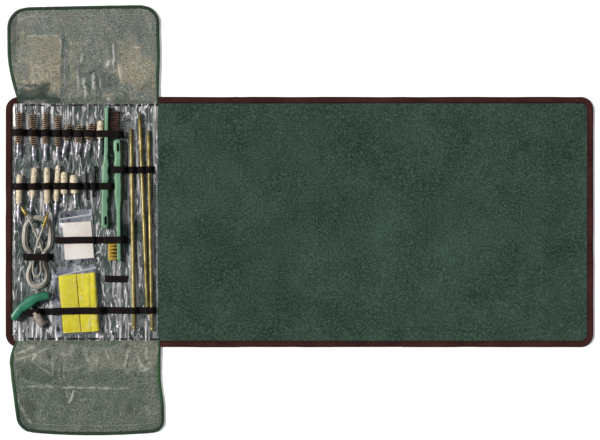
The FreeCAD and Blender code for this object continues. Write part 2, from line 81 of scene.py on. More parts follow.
# ---------------------------------------------------------------- camera, light and floor

VIEW_WIDTH = 840.0
CAMERA_RISE = 2500.0
CAMERA_X, CAMERA_Y = 0.7, 2.8
SENSOR_WIDTH = 36.0
SKY_STRENGTH, SUN_STRENGTH, SUN_SPREAD = 0.30, 3.7, 9
# The floor's half width and how far it lies below the mat, in metres.
FLOOR_REACH, FLOOR_GAP = 4.0, 0.0004


def make_studio():
    scene = bpy.context.scene
    scene.view_settings.view_transform = "Standard"
    camera = bpy.data.cameras.new("camera")
    camera.sensor_width = SENSOR_WIDTH
    camera.lens = SENSOR_WIDTH * CAMERA_RISE / VIEW_WIDTH
    camera.clip_end = 20.0
    scene.camera = added("camera", camera)
    scene.camera.location = (CAMERA_X * MM, CAMERA_Y * MM, CAMERA_RISE * MM)

    world = bpy.data.worlds.new("studio")
    scene.world = world
    world.use_nodes = True
    background = world.node_tree.nodes["Background"]
    background.inputs["Color"].default_value = (0.93, 0.97, 1.0, 1.0)
    background.inputs["Strength"].default_value = SKY_STRENGTH

    sun = bpy.data.lights.new("key", "SUN")
    sun.energy = SUN_STRENGTH
    sun.angle = math.radians(SUN_SPREAD)
    sun.color = (1.0, 0.97, 0.93)
    added("key", sun).rotation_euler = (math.radians(-8), math.radians(-42), 0)

    plate = bpy.data.meshes.new("floor")
    corners = [(x * FLOOR_REACH, y * FLOOR_REACH, 0) for x, y in ((-1, -1), (1, -1), (1, 1), (-1, 1))]
    plate.from_pydata(corners, [], [(0, 1, 2, 3)])
    white = bpy.data.materials.new("floor")
    white.use_nodes = True
    shader = white.node_tree.nodes["Principled BSDF"]
    shader.inputs["Base Color"].default_value = (0.86, 0.86, 0.86, 1)
    shader.inputs["Roughness"].default_value = 0.7
    shader.inputs["Emission Color"].default_value = (1, 1, 1, 1)
    shader.inputs["Emission Strength"].default_value = 0.25
    plate.materials.append(white)
    floor = added("floor", plate)
    floor.location.z = -FLOOR_GAP


make_studio()


# ---------------------------------------------------------------- noise and mesh helpers

def noise(x, y, seed):
    """Smooth value noise from 0 to 1 on a unit lattice."""
    column, row = np.floor(x).astype(np.int64), np.floor(y).astype(np.int64)
    across, along = x - column, y - row
    across, along = across * across * (3 - 2 * across), along * along * (3 - 2 * along)

    def corner(right, up):
        mix = (column + right) * 73856093 ^ (row + up) * 19349663 ^ (seed + 11) * 83492791
        mix = (mix ^ (mix >> 13)) * 1274126177
        return ((mix ^ (mix >> 16)) & 0xFFFFFF) / 0xFFFFFF

    low = corner(0, 0) * (1 - across) + corner(1, 0) * across
    high = corner(0, 1) * (1 - across) + corner(1, 1) * across
    return low * (1 - along) + high * along


def summed(pattern, x, y, seed, octaves):
    """A pattern from 0 to 1, added up in octaves, each half as strong and half as large as the last."""
    total = sum(0.5 ** (k + 1) * pattern(x * 2 ** k, y * 2 ** k, seed + k) for k in range(octaves))
    return total / (1 - 0.5 ** octaves)


def layered(x, y, seed, octaves):
    return summed(noise, x, y, seed, octaves)


def crest(x, y, seed):
    """1 where the noise passes its middle, falling off on both sides."""
    return 1 - np.abs(2 * noise(x, y, seed) - 1)


def ridges(x, y, seed, octaves):
    """Sharp creases in octaves."""
    return summed(lambda *spot: crest(*spot) ** 2, x, y, seed, octaves)


def ramp(value, low, high):
    """0 below low and 1 above high, smooth between."""
    t = np.clip((value - low) / (high - low), 0, 1)
    return t * t * (3 - 2 * t)


def between(value, low, high, outside, inside=0.0):
    """1 between low and high and 0 away from them. It rises from outside them to inside them."""
    return ramp(value, low - outside, low + inside) * ramp(-value, -high - outside, -high + inside)


def blunted(wave, power):
    """A wave from -1 to 1 with its swings squared off, the more so the lower the power."""
    return np.sign(wave) * np.abs(wave) ** power


def fall_off(past, radius):
    """How far a round corner of this radius falls away at a distance past its start."""
    return radius - np.sqrt(np.maximum(radius ** 2 - past ** 2, 0))


def distances(line):
    """How far along a line each of its points lies."""
    return np.concatenate([[0], np.cumsum(np.linalg.norm(np.diff(line, axis=0), axis=1))])


def sampled(line, run, spots):
    """A line's values at some distances along it. run gives those of its own points."""
    return np.stack([np.interp(spots, run, column) for column in np.asarray(line).T], -1)


def turns(count):
    """Evenly spaced angles once round."""
    return np.linspace(0, 2 * math.pi, count, endpoint=False)


def around(radius, along, turn):
    """Points at a radius and a turn about +Y."""
    return np.stack([radius * np.cos(turn), along + 0 * turn, radius * np.sin(turn)], -1)


def piece(name, verts, faces, material, body=None, slot=None, replaces=()):
    """A mesh object from points in millimetres, with one of MATERIALS."""
    mesh = bpy.data.meshes.new(name)
    points = np.asarray(verts, float).reshape(-1, 3) * MM
    mesh.from_pydata(points.tolist(), [], [tuple(int(i) for i in f) for f in faces])
    mesh.materials.append(MATERIALS[material])
    mesh.polygons.foreach_set("use_smooth", [True] * len(mesh.polygons))
    mesh.update()
    mesh.set_sharp_from_angle(angle=SHARP_ANGLE)
    thing = added(name, mesh)
    if body:
        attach(thing, body)
    if replaces:
        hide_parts(*replaces)
    return thing


def merged(parts):
    """Several (verts, faces) lists as one."""
    verts, faces, count = [], [], 0
    for points, polygons in parts:
        points = np.asarray(points, float).reshape(-1, 3)
        verts.append(points)
        faces.extend(tuple(int(i) + count for i in f) for f in polygons)
        count += len(points)
    return np.concatenate(verts), faces


def grid_faces(rows, columns, first=0, closed=False):
    """Quads over a grid of points stored row by row. closed joins the last column to the first."""
    r, c = [a.ravel() for a in np.meshgrid(np.arange(rows - 1), np.arange(columns if closed else columns - 1),
                                           indexing="ij")]
    c2 = (c + 1) % columns
    this, beyond = first + r * columns, first + (r + 1) * columns
    quads = np.stack([this + c, this + c2, beyond + c2, beyond + c], 1)
    return [tuple(q) for q in quads.tolist()]


def flipped(faces):
    return [f[::-1] for f in faces]


def barrel(rows, sides):
    """Faces over closed rings of points, with a cap on the first ring and on the last."""
    last = (rows - 1) * sides
    caps = [tuple(range(sides))[::-1], tuple(range(last, last + sides))]
    return grid_faces(rows, sides, closed=True) + caps


def shell(top, under, flip=False):
    """A closed sheet between two grids of points whose rows run along +Y. flip turns its faces over."""
    rows, columns, _ = top.shape
    count = rows * columns
    faces = grid_faces(rows, columns) + flipped(grid_faces(rows, columns, count))
    rim = list(range(columns)) + [r * columns + columns - 1 for r in range(1, rows)]
    rim += [(rows - 1) * columns + c for c in range(columns - 2, -1, -1)]
    rim += [r * columns for r in range(rows - 2, 0, -1)]
    faces += [(b, a, a + count, b + count) for a, b in zip(rim, rim[1:] + rim[:1])]
    return np.concatenate([top.reshape(-1, 3), under.reshape(-1, 3)]), flipped(faces) if flip else faces


def slab(x, y, low, high):
    """A closed sheet over a grid, from its x, y and the heights of its two sides."""
    low, high = np.broadcast_to(low, x.shape), np.broadcast_to(high, x.shape)
    return shell(np.stack([x, y, high], -1), np.stack([x, y, low], -1))


def stroke(x, y, start, end, width, bow=0.0):
    """1 along a line that may bow to one side, fading within about width of it and towards its ends."""
    (x0, y0), (x1, y1) = start, end
    size = math.hypot(x1 - x0, y1 - y0)
    ux, uy = (x1 - x0) / size, (y1 - y0) / size
    share = np.clip(((x - x0) * ux + (y - y0) * uy) / size, 0, 1)
    bend = 4 * bow * share * (1 - share)
    off_x, off_y = x - x0 - ux * size * share + uy * bend, y - y0 - uy * size * share - ux * bend
    return np.exp(-(off_x ** 2 + off_y ** 2) / width ** 2) * (0.3 + 0.7 * np.sin(math.pi * share) ** 0.5)


def area(x, y, left, right, low, high, soft=3.0):
    """1 inside a box and 0 outside it, with soft edges."""
    return between(x, left, right, soft, soft) * between(y, low, high, soft, soft)


def paint(thing, **layers):
    """Store numbers from 0 to 1 at a mesh's points, for its material to read."""
    for name, values in layers.items():
        layer = thing.data.attributes.new(name, "FLOAT", "POINT")
        layer.data.foreach_set("value", np.asarray(values, np.float32).ravel())


def frames_along(path):
    """Side and up vectors along a path, turning as little as possible."""
    tangent = np.gradient(path, axis=0)
    tangent /= np.linalg.norm(tangent, axis=1, keepdims=True) + 1e-12
    up = UP if abs(tangent[0] @ UP) <= 0.9 else np.array([0.0, 1.0, 0.0])
    sides, ups = [], []
    for t in tangent:
        side = np.cross(up, t)
        side /= np.linalg.norm(side) + 1e-12
        up = np.cross(t, side)
        sides.append(side)
        ups.append(up)
    return np.array(sides), np.array(ups)


def tube(path, radius, sides=8, squeeze=1.0):
    """A round tube along a path. radius is a number or one number for each point."""
    path = np.asarray(path, float)
    radius = np.broadcast_to(np.asarray(radius, float), (len(path),))
    side, up = frames_along(path)
    angle = turns(sides)
    ring = (side[:, None, :] * np.cos(angle)[None, :, None] +
            up[:, None, :] * np.sin(angle)[None, :, None] * squeeze)
    verts = (path[:, None, :] + ring * radius[:, None, None]).reshape(-1, 3)
    return verts, barrel(len(path), sides)


def lathe(stations, sides=24):
    """A turned shape about +Y from (radius, distance) stations."""
    stations = np.asarray(stations, float)
    angle = turns(sides)
    verts = around(stations[:, 0:1], stations[:, 1:2], angle).reshape(-1, 3)
    return verts, flipped(barrel(len(stations), sides))


def aimed(verts, origin, direction):
    """Turns points whose length runs along +Y so that it runs along a direction in the mat's plane."""
    d = direction / np.linalg.norm(direction)
    side = np.array([d[1], -d[0], 0.0])
    return origin + verts[:, 0:1] * side + verts[:, 1:2] * d + verts[:, 2:3] * UP


def thread(start, end, outer, depth, pitch):
    """Stations of a screw thread seen as rings."""
    count = max(1, int(abs(end - start) / pitch))
    stations = []
    for turn in range(count):
        base = start + turn * pitch
        for share, drop in ((0.0, 1.0), (0.3, 0.0), (0.6, 0.0), (0.9, 1.0)):
            stations.append((outer - depth * drop, base + share * pitch))
    return stations


def needles(roots, tips, width):
    """Thin three-sided prisms from roots to tips, as one mesh."""
    roots, tips = np.asarray(roots, float), np.asarray(tips, float)
    along = tips - roots
    along /= np.linalg.norm(along, axis=1, keepdims=True) + 1e-12
    helper = np.where(np.abs(along[:, 2:3]) < 0.8, np.array([[0, 0, 1.0]]), np.array([[1.0, 0, 0]]))
    side = np.cross(along, helper)
    side /= np.linalg.norm(side, axis=1, keepdims=True) + 1e-12
    other = np.cross(along, side)
    rings = []
    for end in (roots, tips):
        for k in range(3):
            a = 2 * math.pi * k / 3
            rings.append(end + (side * math.cos(a) + other * math.sin(a)) * width / 2)
    verts = np.stack(rings, 1).reshape(-1, 3)
    base = np.arange(len(roots)) * 6
    pattern = [(0, 1, 4, 3), (1, 2, 5, 4), (2, 0, 3, 5)]
    faces = [tuple(b + i for i in f) for b in base.tolist() for f in pattern]
    faces += [(b + 2, b + 1, b) for b in base.tolist()]
    faces += [(b + 3, b + 4, b + 5) for b in base.tolist()]
    return verts, faces


# ---------------------------------------------------------------- materials

# How much brighter than its base colour a surface that faces up looks.
LIGHT_LEVEL = 1.12


def colour(text):
    """A screen colour as the linear base colour that gives it in this light."""
    parts = [int(text[i:i + 2], 16) / 255 for i in (0, 2, 4)]
    linear = [p / 12.92 if p <= 0.04045 else ((p + 0.055) / 1.055) ** 2.4 for p in parts]
    return tuple(min(1.0, v / LIGHT_LEVEL) for v in linear) + (1.0,)


MATERIALS = {}


class Recipe:
    """Builds one node material step by step, and keeps it in MATERIALS under its name."""

    def __init__(self, name, roughness=0.5, metallic=0.0, **uniform):
        MATERIALS[name] = bpy.data.materials.new(name)
        MATERIALS[name].use_nodes = True
        self.tree = MATERIALS[name].node_tree
        self.shader = self.tree.nodes["Principled BSDF"]
        self.place = self.node("ShaderNodeTexCoord").outputs["Object"]
        self.shader.inputs["Roughness"].default_value = roughness
        self.shader.inputs["Metallic"].default_value = metallic
        for key, value in uniform.items():
            self.shader.inputs[key.replace("_", " ")].default_value = value

    def node(self, kind, values=None, **settings):
        made = self.tree.nodes.new(kind)
        for key, value in settings.items():
            setattr(made, key, value)
        for key, value in (values or {}).items():
            made.inputs[key].default_value = value
        return made

    def feed(self, target, source):
        """Link a socket to another one, or set its value. A text is a screen colour."""
        if isinstance(source, str):
            target.default_value = colour(source)
        elif isinstance(source, (int, float, tuple)):
            target.default_value = source
        else:
            self.tree.links.new(source, target)

    def stretched(self, scale):
        mapping = self.node("ShaderNodeMapping", {"Scale": scale})
        self.feed(mapping.inputs["Vector"], self.place)
        return mapping.outputs["Vector"]

    def noise(self, scale, detail=3.0, roughness=0.55, stretch=None, distortion=0.0):
        made = self.node("ShaderNodeTexNoise", {"Scale": scale, "Detail": detail, "Roughness": roughness,
                                                "Distortion": distortion})
        self.feed(made.inputs["Vector"], self.stretched(stretch) if stretch else self.place)
        return made.outputs["Fac"]

    def wave(self, scale, direction, distortion):
        made = self.node("ShaderNodeTexWave", {"Scale": scale, "Distortion": distortion},
                         wave_type="BANDS", bands_direction=direction, wave_profile="SIN")
        self.feed(made.inputs["Vector"], self.place)
        return made.outputs["Fac"]

    def parts(self, vector):
        """A vector's X, Y and Z."""
        split = self.node("ShaderNodeSeparateXYZ")
        self.feed(split.inputs[0], vector)
        return split.outputs

    def painted(self, name):
        """Numbers stored at the mesh's points by paint()."""
        return self.node("ShaderNodeAttribute", attribute_name=name).outputs["Fac"]

    def math(self, operation, first, second=0.5):
        made = self.node("ShaderNodeMath", operation=operation)
        for socket, value in zip(made.inputs, (first, second)):
            self.feed(socket, value)
        return made.outputs[0]

    def band(self, source, low, high, start=0.0, end=1.0):
        """start where the source is low or less, end where it is high or more."""
        made = self.node("ShaderNodeMapRange",
                         {"From Min": low, "From Max": high, "To Min": start, "To Max": end})
        self.feed(made.inputs["Value"], source)
        return made.outputs["Result"]

    def mix(self, factor, first, second):
        made = self.node("ShaderNodeMix", data_type="RGBA", blend_type="MIX")
        self.feed(made.inputs["Factor"], factor)
        self.feed(made.inputs[6], first)
        self.feed(made.inputs[7], second)
        return made.outputs[2]

    def base(self, source):
        self.feed(self.shader.inputs["Base Color"], source)

    def rough(self, source, low, high):
        self.feed(self.shader.inputs["Roughness"], self.band(source, 0.3, 0.7, low, high))

    def alpha(self, source, low, high, start, end):
        self.feed(self.shader.inputs["Alpha"], self.band(source, start, end, low, high))

    def bump(self, *layers):
        """Each layer is (source, height in millimetres, strength)."""
        normal = None
        for source, height, strength in layers:
            made = self.node("ShaderNodeBump", {"Distance": height * MM, "Strength": strength})
            self.feed(made.inputs["Height"], source)
            if normal:
                self.feed(made.inputs["Normal"], normal)
            normal = made.outputs["Normal"]
        self.feed(self.shader.inputs["Normal"], normal)


def felt_material():
    r = Recipe("felt", roughness=0.95, Sheen_Weight=0.05, Sheen_Roughness=0.5, Specular_IOR_Level=0.12)
    blotch = r.noise(13, detail=6, roughness=0.66, distortion=0.4)
    fleck = r.noise(430, detail=5, roughness=0.75)
    fibre = r.noise(690, detail=4, roughness=0.75)
    tone = r.mix(r.band(blotch, 0.34, 0.66), "213229", "384d42")
    tone = r.mix(r.band(fleck, 0.46, 0.66, 0.0, 0.9), tone, "536f5f")
    tone = r.mix(r.band(fibre, 0.36, 0.52, 0.85, 0.0), tone, "131f19")
    r.base(tone)
    r.bump((fleck, 0.8, 0.6), (fibre, 0.4, 0.8))


def cloth_material(name, dark, light, pitch, sheen, depth=0.25, shaded_edges=False):
    """A plain weave of the given thread pitch in millimetres. When asked, it paints shade on the edges that
    the mesh stores.
    """
    r = Recipe(name, roughness=0.9, Sheen_Weight=sheen, Specular_IOR_Level=0.12)
    turns = 2 * math.pi * 1000 / pitch / 20
    warp = r.wave(turns, "X", 0.6)
    weft = r.wave(turns, "Y", 0.6)
    weave = r.math("MULTIPLY", warp, weft)
    blotch = r.noise(28, detail=4)
    fleck = r.noise(700, detail=3)
    tone = r.mix(r.band(blotch, 0.32, 0.7), dark, light)
    tone = r.mix(r.band(fleck, 0.35, 0.7, 0.0, 0.35), tone, light)
    tone = r.mix(r.band(weave, 0.0, 0.5, 0.45, 0.0), tone, dark)
    if shaded_edges:
        # Painted shade: the edges that the mesh stores turn near-black.
        tone = r.mix(r.math("MULTIPLY", r.painted("edge"), 0.75), tone, "120808")
    r.base(tone)
    r.bump((weave, depth, 0.7), (fleck, 0.2, 0.5))


def vinyl_material(name, dim, pale, clear, milky, scale, stretch, lines=(0.75, 0.6), roughness=0.2, fold=0.11,
                   pleats=None):
    """Clear film. Painted highlights follow its creases, with painted shade beside them, and cloudy patches
    lie between.
    clear and milky are its cover outside and inside those patches. lines is what both kinds of line add.
    pleats gives the distances from the middle of the mat between which gathers come in, painted as highlights
    and shade."""
    r = Recipe(name, roughness=roughness, Specular_IOR_Level=0.6)
    crease = r.noise(scale, detail=1.4, roughness=0.5, stretch=stretch, distortion=0.35)
    level = r.math("PINGPONG", crease, fold)
    patch = r.noise(scale * 0.6, detail=3.0, roughness=0.6, stretch=(1.0, 0.5, 1.0), distortion=0.6)
    grain = r.noise(750, detail=2.0)
    busy = r.band(patch, 0.40, 0.60)
    broken = r.noise(scale * 1.3, detail=2.0, stretch=(1.0, 0.4, 1.0))
    # Painted highlights along the crease lines, and painted shade beside them.
    bright = r.math("MULTIPLY", r.band(level, fold * 0.72, fold * 0.96), r.band(broken, 0.40, 0.58, 0.1, 1.0))
    dark = r.math("MULTIPLY", r.band(level, fold * 0.06, fold * 0.42, 1.0, 0.0),
                  r.band(broken, 0.36, 0.5, 0.3, 1.0))
    if pleats:
        # Painted highlights and painted shade that the mesh stores, and gathers near the seams painted the
        # same way.
        bright = r.math("MAXIMUM", r.math("MULTIPLY", bright, 0.88), r.painted("bright"))
        dark = r.math("MAXIMUM", dark, r.painted("dark"))
        near = r.band(r.math("ABSOLUTE", r.parts(r.place)["Y"]), pleats[0] * MM, pleats[1] * MM)
        gather = r.noise(210, detail=1.0, stretch=(1.0, 0.06, 1.0), distortion=0.25)
        bright = r.math("MAXIMUM", bright, r.math("MULTIPLY", near, r.band(gather, 0.54, 0.64)))
        dark = r.math("MAXIMUM", dark, r.math("MULTIPLY", near, r.band(gather, 0.37, 0.45, 1.0, 0.0)))
    tone = r.mix(r.band(grain, 0.35, 0.65, 0.0, 0.45), dim, pale)
    tone = r.mix(r.math("MULTIPLY", dark, 0.95), tone, "0c1513")
    tone = r.mix(bright, tone, pale)
    r.base(tone)
    cover = r.math("MULTIPLY", busy, milky - clear)
    cover = r.math("ADD", cover, r.math("MULTIPLY", bright, lines[0]))
    cover = r.math("ADD", cover, r.math("MULTIPLY", dark, lines[1]))
    r.alpha(cover, clear, 1.0, 0.0, 1.0 - clear)
    r.bump((crease, 2.0, 0.5), (grain, 0.2, 0.3))


def haze_material(name, tan, blue, pale, deep):
    """Clear film on cloth. The mesh stores how closely it touches, how tan it looks, and its creases, with
    painted highlights on the pale ones and painted shade in the dark ones and the dark marks.
    """
    r = Recipe(name, roughness=0.34, Specular_IOR_Level=0.45)
    grain = r.noise(610, detail=2.0, roughness=0.8, stretch=(1.0, 0.8, 1.0))
    fine = r.noise(930, detail=2.0, roughness=0.7, stretch=(1.0, 0.75, 1.0))
    cloud = r.noise(70, detail=4.0, roughness=0.65, distortion=0.5)
    shift = r.band(cloud, 0.3, 0.7, -0.25, 0.25)
    tone = r.mix(r.math("ADD", r.painted("tan"), shift), blue, tan)
    tone = r.mix(r.band(grain, 0.42, 0.66, 0.0, 0.9), tone, pale)
    tone = r.mix(r.band(fine, 0.36, 0.52, 0.9, 0.0), tone, deep)
    # Painted shade from the mesh's dark creases and marks.
    tone = r.mix(r.painted("dark"), tone, deep)
    # Painted highlights on the pale creases.
    broken = r.noise(190, detail=3.0, roughness=0.7)
    bright = r.math("MULTIPLY", r.painted("bright"), r.band(broken, 0.42, 0.58, 0.15, 0.9))
    tone = r.mix(bright, tone, "dcdad0")
    r.base(tone)
    cover = r.math("ADD", r.painted("touch"), r.math("MULTIPLY", shift, 0.7))
    cover = r.math("ADD", cover, r.math("MULTIPLY", bright, 0.4))
    cover = r.math("ADD", cover, r.math("MULTIPLY", r.painted("dark"), 0.4))
    r.alpha(cover, 0.15, 0.95, 0.0, 1.0)
    r.bump((grain, 0.5, 0.5), (fine, 0.25, 0.4))


def metal_material(name, dark, light, roughness, metallic=1.0):
    r = Recipe(name, roughness=roughness, metallic=metallic)
    line = r.noise(1.0, detail=5, roughness=0.7, stretch=(90, 900, 900))
    stain = r.noise(55, detail=4)
    tone = r.mix(r.band(stain, 0.35, 0.7), dark, light)
    r.base(tone)
    r.rough(line, roughness * 0.75, roughness * 1.45)
    r.bump((line, 0.06, 0.35))


def plastic_material(name, dark, light, roughness=0.38, coat=0.15, shaded=None):
    """Moulded plastic. shaded is the colour of the shade painted on the sides that face +X."""
    r = Recipe(name, roughness=roughness, Specular_IOR_Level=0.5, Coat_Weight=coat, Coat_Roughness=0.3)
    cloud = r.noise(30, detail=3)
    pit = r.noise(1200, detail=2)
    scuff = r.noise(160, detail=5, roughness=0.75)
    tone = r.mix(r.band(cloud, 0.3, 0.7), dark, light)
    tone = r.mix(r.band(scuff, 0.58, 0.75, 0.0, 0.25), tone, light)
    if shaded:
        # Painted shade on the sides that face +X, away from the sun.
        facing = r.parts(r.node("ShaderNodeTexCoord").outputs["Normal"])["X"]
        tone = r.mix(r.band(facing, 0.32, 0.66, 0.0, 0.95), tone, shaded)
    r.base(tone)
    r.rough(scuff, roughness * 0.8, roughness * 1.3)
    r.bump((pit, 0.05, 0.3), (scuff, 0.05, 0.2))


def fibre_material(name, dark, light, roughness=0.8, scale=500, metallic=0.0, sheen=0.1, root=None):
    """Fibres. root is the colour of painted shade towards their roots, where the mesh stores how near each
    point is to a tip.
    """
    r = Recipe(name, roughness=roughness, metallic=metallic, Sheen_Weight=sheen)
    hair = r.noise(scale, detail=3, roughness=0.7)
    tone = r.mix(r.band(hair, 0.35, 0.65), dark, light)
    # Painted shade: darker towards the roots.
    if root:
        tone = r.mix(r.band(r.painted("tip"), 0.1, 0.9, 0.0, 1.0), root, tone)
    r.base(tone)
    r.bump((hair, 0.25, 0.5))


felt_material()
cloth_material("backing", "182a22", "2a4537", 0.9, sheen=0.03)
# The binding's edges carry painted shade.
cloth_material("binding", "2c1413", "512b27", 1.0, sheen=0.03, shaded_edges=True)
cloth_material("elastic", "0f0a0a", "241c1d", 0.8, sheen=0.02, depth=0.35)
cloth_material("flap_cloth", "35493c", "6c8070", 1.3, sheen=0.03, depth=0.4)
cloth_material("patches", "dcd2cc", "fffaf6", 0.7, sheen=0.05, depth=0.3)
cloth_material("yellow", "c9bb1c", "fbf04a", 0.8, sheen=0.1)
vinyl_material("panel_vinyl", "5f6a73", "f4f1f1", 0.04, 0.45, 112, (1.0, 0.22, 1.0), (0.8, 0.75), fold=0.085,
               pleats=(128, 158))
vinyl_material("film", "7d8290", "c4c7d0", 0.44, 0.58, 60, (1.0, 0.6, 1.0), (0.3, 0.0), 0.16, fold=0.2)
vinyl_material("film_over", "a8aebb", "ffffff", 0.02, 0.05, 70, (1.0, 0.6, 1.0), (0.16, 0.0), 0.14)
haze_material("flap_top_vinyl", "989079", "6c7c7e", "c9c5b4", "26342f")
haze_material("flap_bottom_vinyl", "89887a", "55675f", "abafa0", "131d18")
fibre_material("edging", "1c4a26", "4f8a55", scale=700, sheen=0.03, root="0a2412")
fibre_material("piping", "070606", "1d1516", scale=700, sheen=0.0)
fibre_material("flap_thread", "8d918a", "b9bcb4", scale=900)
fibre_material("thread", "a9aca9", "ecebe8", scale=900)
fibre_material("bronze", "d89c5c", "ffeacb", roughness=0.42, metallic=0.1, scale=900, sheen=0, root="2a160b")
# The near-black of the brushes' root sleeves is painted shade.
fibre_material("bronze_root_shade", "0e0705", "2c1a10", scale=700, sheen=0)
fibre_material("cotton", "c6b087", "fff6e2", roughness=0.95, scale=420, sheen=0.2)
fibre_material("nylon", "231512", "6f524a", roughness=0.45, scale=600, sheen=0, root="0d0706")
fibre_material("golden", "c8961c", "ffe468", roughness=0.4, metallic=0.2, scale=900, sheen=0, root="4a3208")
metal_material("wire", "8d8794", "d7d2dc", 0.3)
metal_material("ferrule", "bdb6c8", "f0ecf8", 0.34, metallic=0.85)
metal_material("black", "0c0c0d", "2a2a2c", 0.4, metallic=0.3)
metal_material("rod", "6f6436", "b3a46c", 0.42, metallic=0.7)
metal_material("brass", "9c8238", "e2ca78", 0.32, metallic=0.85)
metal_material("socket", "7d7268", "a89c90", 0.6, metallic=0.1)
plastic_material("seal", "b9bdc8", "e2e4ec", roughness=0.25)
plastic_material("handle", "52805f", "74a182", coat=0.05, shaded="0f2a1b")
plastic_material("cable", "7b776e", "b8b3a8", roughness=0.34)
plastic_material("grip", "125c44", "27926b", roughness=0.32, coat=0.3)
plastic_material("stem", "0b0b0c", "26272a", roughness=0.4)


# ---------------------------------------------------------------- the cable hank

CABLE_WIDTH = 3.0


def make_cable():
    """Three turns in a loose figure: an upper loop and a lower loop tied at the waist by an elastic."""
    low, high = box("cable_hank")
    middle = (low[0] + high[0]) / 2
    base = low[2] + CABLE_WIDTH / 2
    waist = -49.0
    tip_left, tip_right = end_frames()
    points = []
    # From the left brass end, down the upper loop and through the waist.
    points += [tip_left["root"], tip_left["root"] + tip_left["away"] * 10]
    points += [(-369, -14, base + 5.2), (-362, -30, base + 4.4), (-357.5, -45, base + 1.5)]
    # Each turn's half widths in the upper and the lower loop, and its lift.
    for index, (upper, lower, lift) in enumerate([(21.0, 15.2, 0.0), (18.6, 13.0, 2.6), (16.2, 10.8, 0.3)]):
        crown = high[1] - upper - 1.6 - index * 2.2
        foot = low[1] + lower + 1.6 + index * 2.4
        side = 8.5 - index * 2.2
        z = base + lift
        # Down the right of the lower loop, round its foot and up its left.
        half = [(lower, 8), (lower, -2), (lower * 0.7, -lower * 0.72)]
        points += [(middle + side, waist - 8, z + 0.4)]
        points += [(middle + x, foot + y, z) for x, y in
                   half + [(0, -lower - 0.2)] + [(-x, y) for x, y in half[::-1]]]
        points += [(middle - side - 1, waist - 8, z + 0.4), (middle - side - 2, waist + 6, z + 0.6)]
        # Up the left of the upper loop, over its crown and down its right.
        points += [(middle + x, crown + y, z) for x, y in
                   ((1 - upper, -24), (-upper, -6), (-upper * 0.86, upper * 0.55),
                    (-upper * 0.4, upper * 0.97), (upper * 0.3, upper), (upper * 0.82, upper * 0.62),
                    (upper, -4), (upper - 1, -22))]
        points += [(middle + side + 3, waist + 8, z + 0.6)]
    # Last pass: back through the waist, round a small inner bight and up to the right brass end.
    z = base + 5.0
    points += [(middle + 4, waist - 6, z + 0.5), (middle + 6, waist - 20, z), (middle + 1, waist - 29, z),
               (middle - 6, waist - 24, z), (middle - 6, waist - 10, z), (middle - 3, waist + 8, z + 0.5),
               (middle + 1, waist + 22, z + 1.0)]
    points += [tip_right["root"] + tip_right["away"] * 10, tip_right["root"]]

    curve = bpy.data.curves.new("cable", "CURVE")
    curve.dimensions = "3D"
    spline = curve.splines.new("NURBS")
    spline.points.add(len(points) - 1)
    for spot, point in zip(spline.points, points):
        spot.co = tuple(float(v) * MM for v in point) + (1.0,)
    spline.order_u = 3
    spline.use_endpoint_u = True
    spline.resolution_u = 8
    curve.bevel_depth = CABLE_WIDTH / 2 * MM
    curve.bevel_resolution = 4
    curve.materials.append(MATERIALS["cable"])
    cord = added("cable", curve)
    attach(cord, "cable")
    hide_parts("cable_hank")
    ends = [make_cable_end(side, tip) for side, tip in (("left", tip_left), ("right", tip_right))]
    round(spline_length(curve), 3)


def spline_length(curve):
    """The length of a curve's own line, in metres."""
    plain = curve.copy()
    plain.bevel_depth = 0
    holder = added("measure", plain)
    bpy.context.view_layer.update()
    line = bpy.data.meshes.new_from_object(holder.evaluated_get(bpy.context.evaluated_depsgraph_get()))
    length = distances([v.co for v in line.vertices])[-1]
    bpy.data.objects.remove(holder)
    bpy.data.curves.remove(plain)
    bpy.data.meshes.remove(line)
    return float(length)


END_LEANS = {"left": 32.0, "right": -20.0}


def end_frames():
    """Where the cable leaves each brass end, and which way."""
    frames = []
    for side in ("left", "right"):
        low, high = box(f"cable_end_{side}")
        lean = math.radians(END_LEANS[side])
        away = np.array([math.sin(lean), -math.cos(lean), 0.0])
        middle = (low + high) / 2
        reach = (high[1] - low[1]) / math.cos(lean) / 2 - 1.5
        frames.append({"root": middle + away * reach, "away": away, "middle": middle, "half": reach})
    return frames


def make_cable_end(side, tip):
    """A turned brass ferrule with knurled grooves and a short thread."""
    half = 2.3
    stations = [(1.55, -0.4), (1.7, 0.2), (1.75, 1.6), (2.1, 2.4)]
    reach = tip["half"] * 2
    spot = 3.0
    while spot < reach - 5.5:
        stations += [(half, spot), (half, spot + 1.6), (half - 0.25, spot + 1.8), (half - 0.25, spot + 2.1)]
        spot += 2.4
    stations += [(half, reach - 5.2), (1.5, reach - 4.9)]
    stations += thread(reach - 4.6, reach - 0.4, 1.6, 0.25, 0.8)
    stations += [(1.1, reach)]
    verts, faces = lathe(stations, 18)
    return piece(f"cable_end_{side}_fitting", aimed(verts, tip["root"], -tip["away"]), faces,
                 "brass", "cable", "brass_end", [f"cable_end_{side}"])


make_cable()


# ---------------------------------------------------------------- places read from the frame

JOINTS = {joint["child"]: joint for joint in frame["joints"]}
MAT_LEFT, MAT_RIGHT = box("binding_tool_panel")[0][0], box("binding_outer")[1][0]
MAT_HALF = box("binding_tool_panel")[1][1]
FELT_TOP = box("felt_outer")[1][2]
REST = box("rod_1")[0][2]
FOLDS = {child: np.array(JOINTS[child]["pos_m"]) / MM for child in
         ("mat_inner", "mat_middle", "mat_outer", "flap_top_body", "flap_bottom_body")}
INNER_X, MIDDLE_X, OUTER_X = (FOLDS[c][0] for c in ("mat_inner", "mat_middle", "mat_outer"))
SEAM_LEFT, SEAM_RIGHT = (INNER_X + MIDDLE_X) / 2, (MIDDLE_X + OUTER_X) / 2
# The radius of the mat's corners.
CORNER = 18.0


def bend_over(thing):
    """Bake a piece's placement into its mesh."""
    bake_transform(thing)


# ---------------------------------------------------------------- the mat

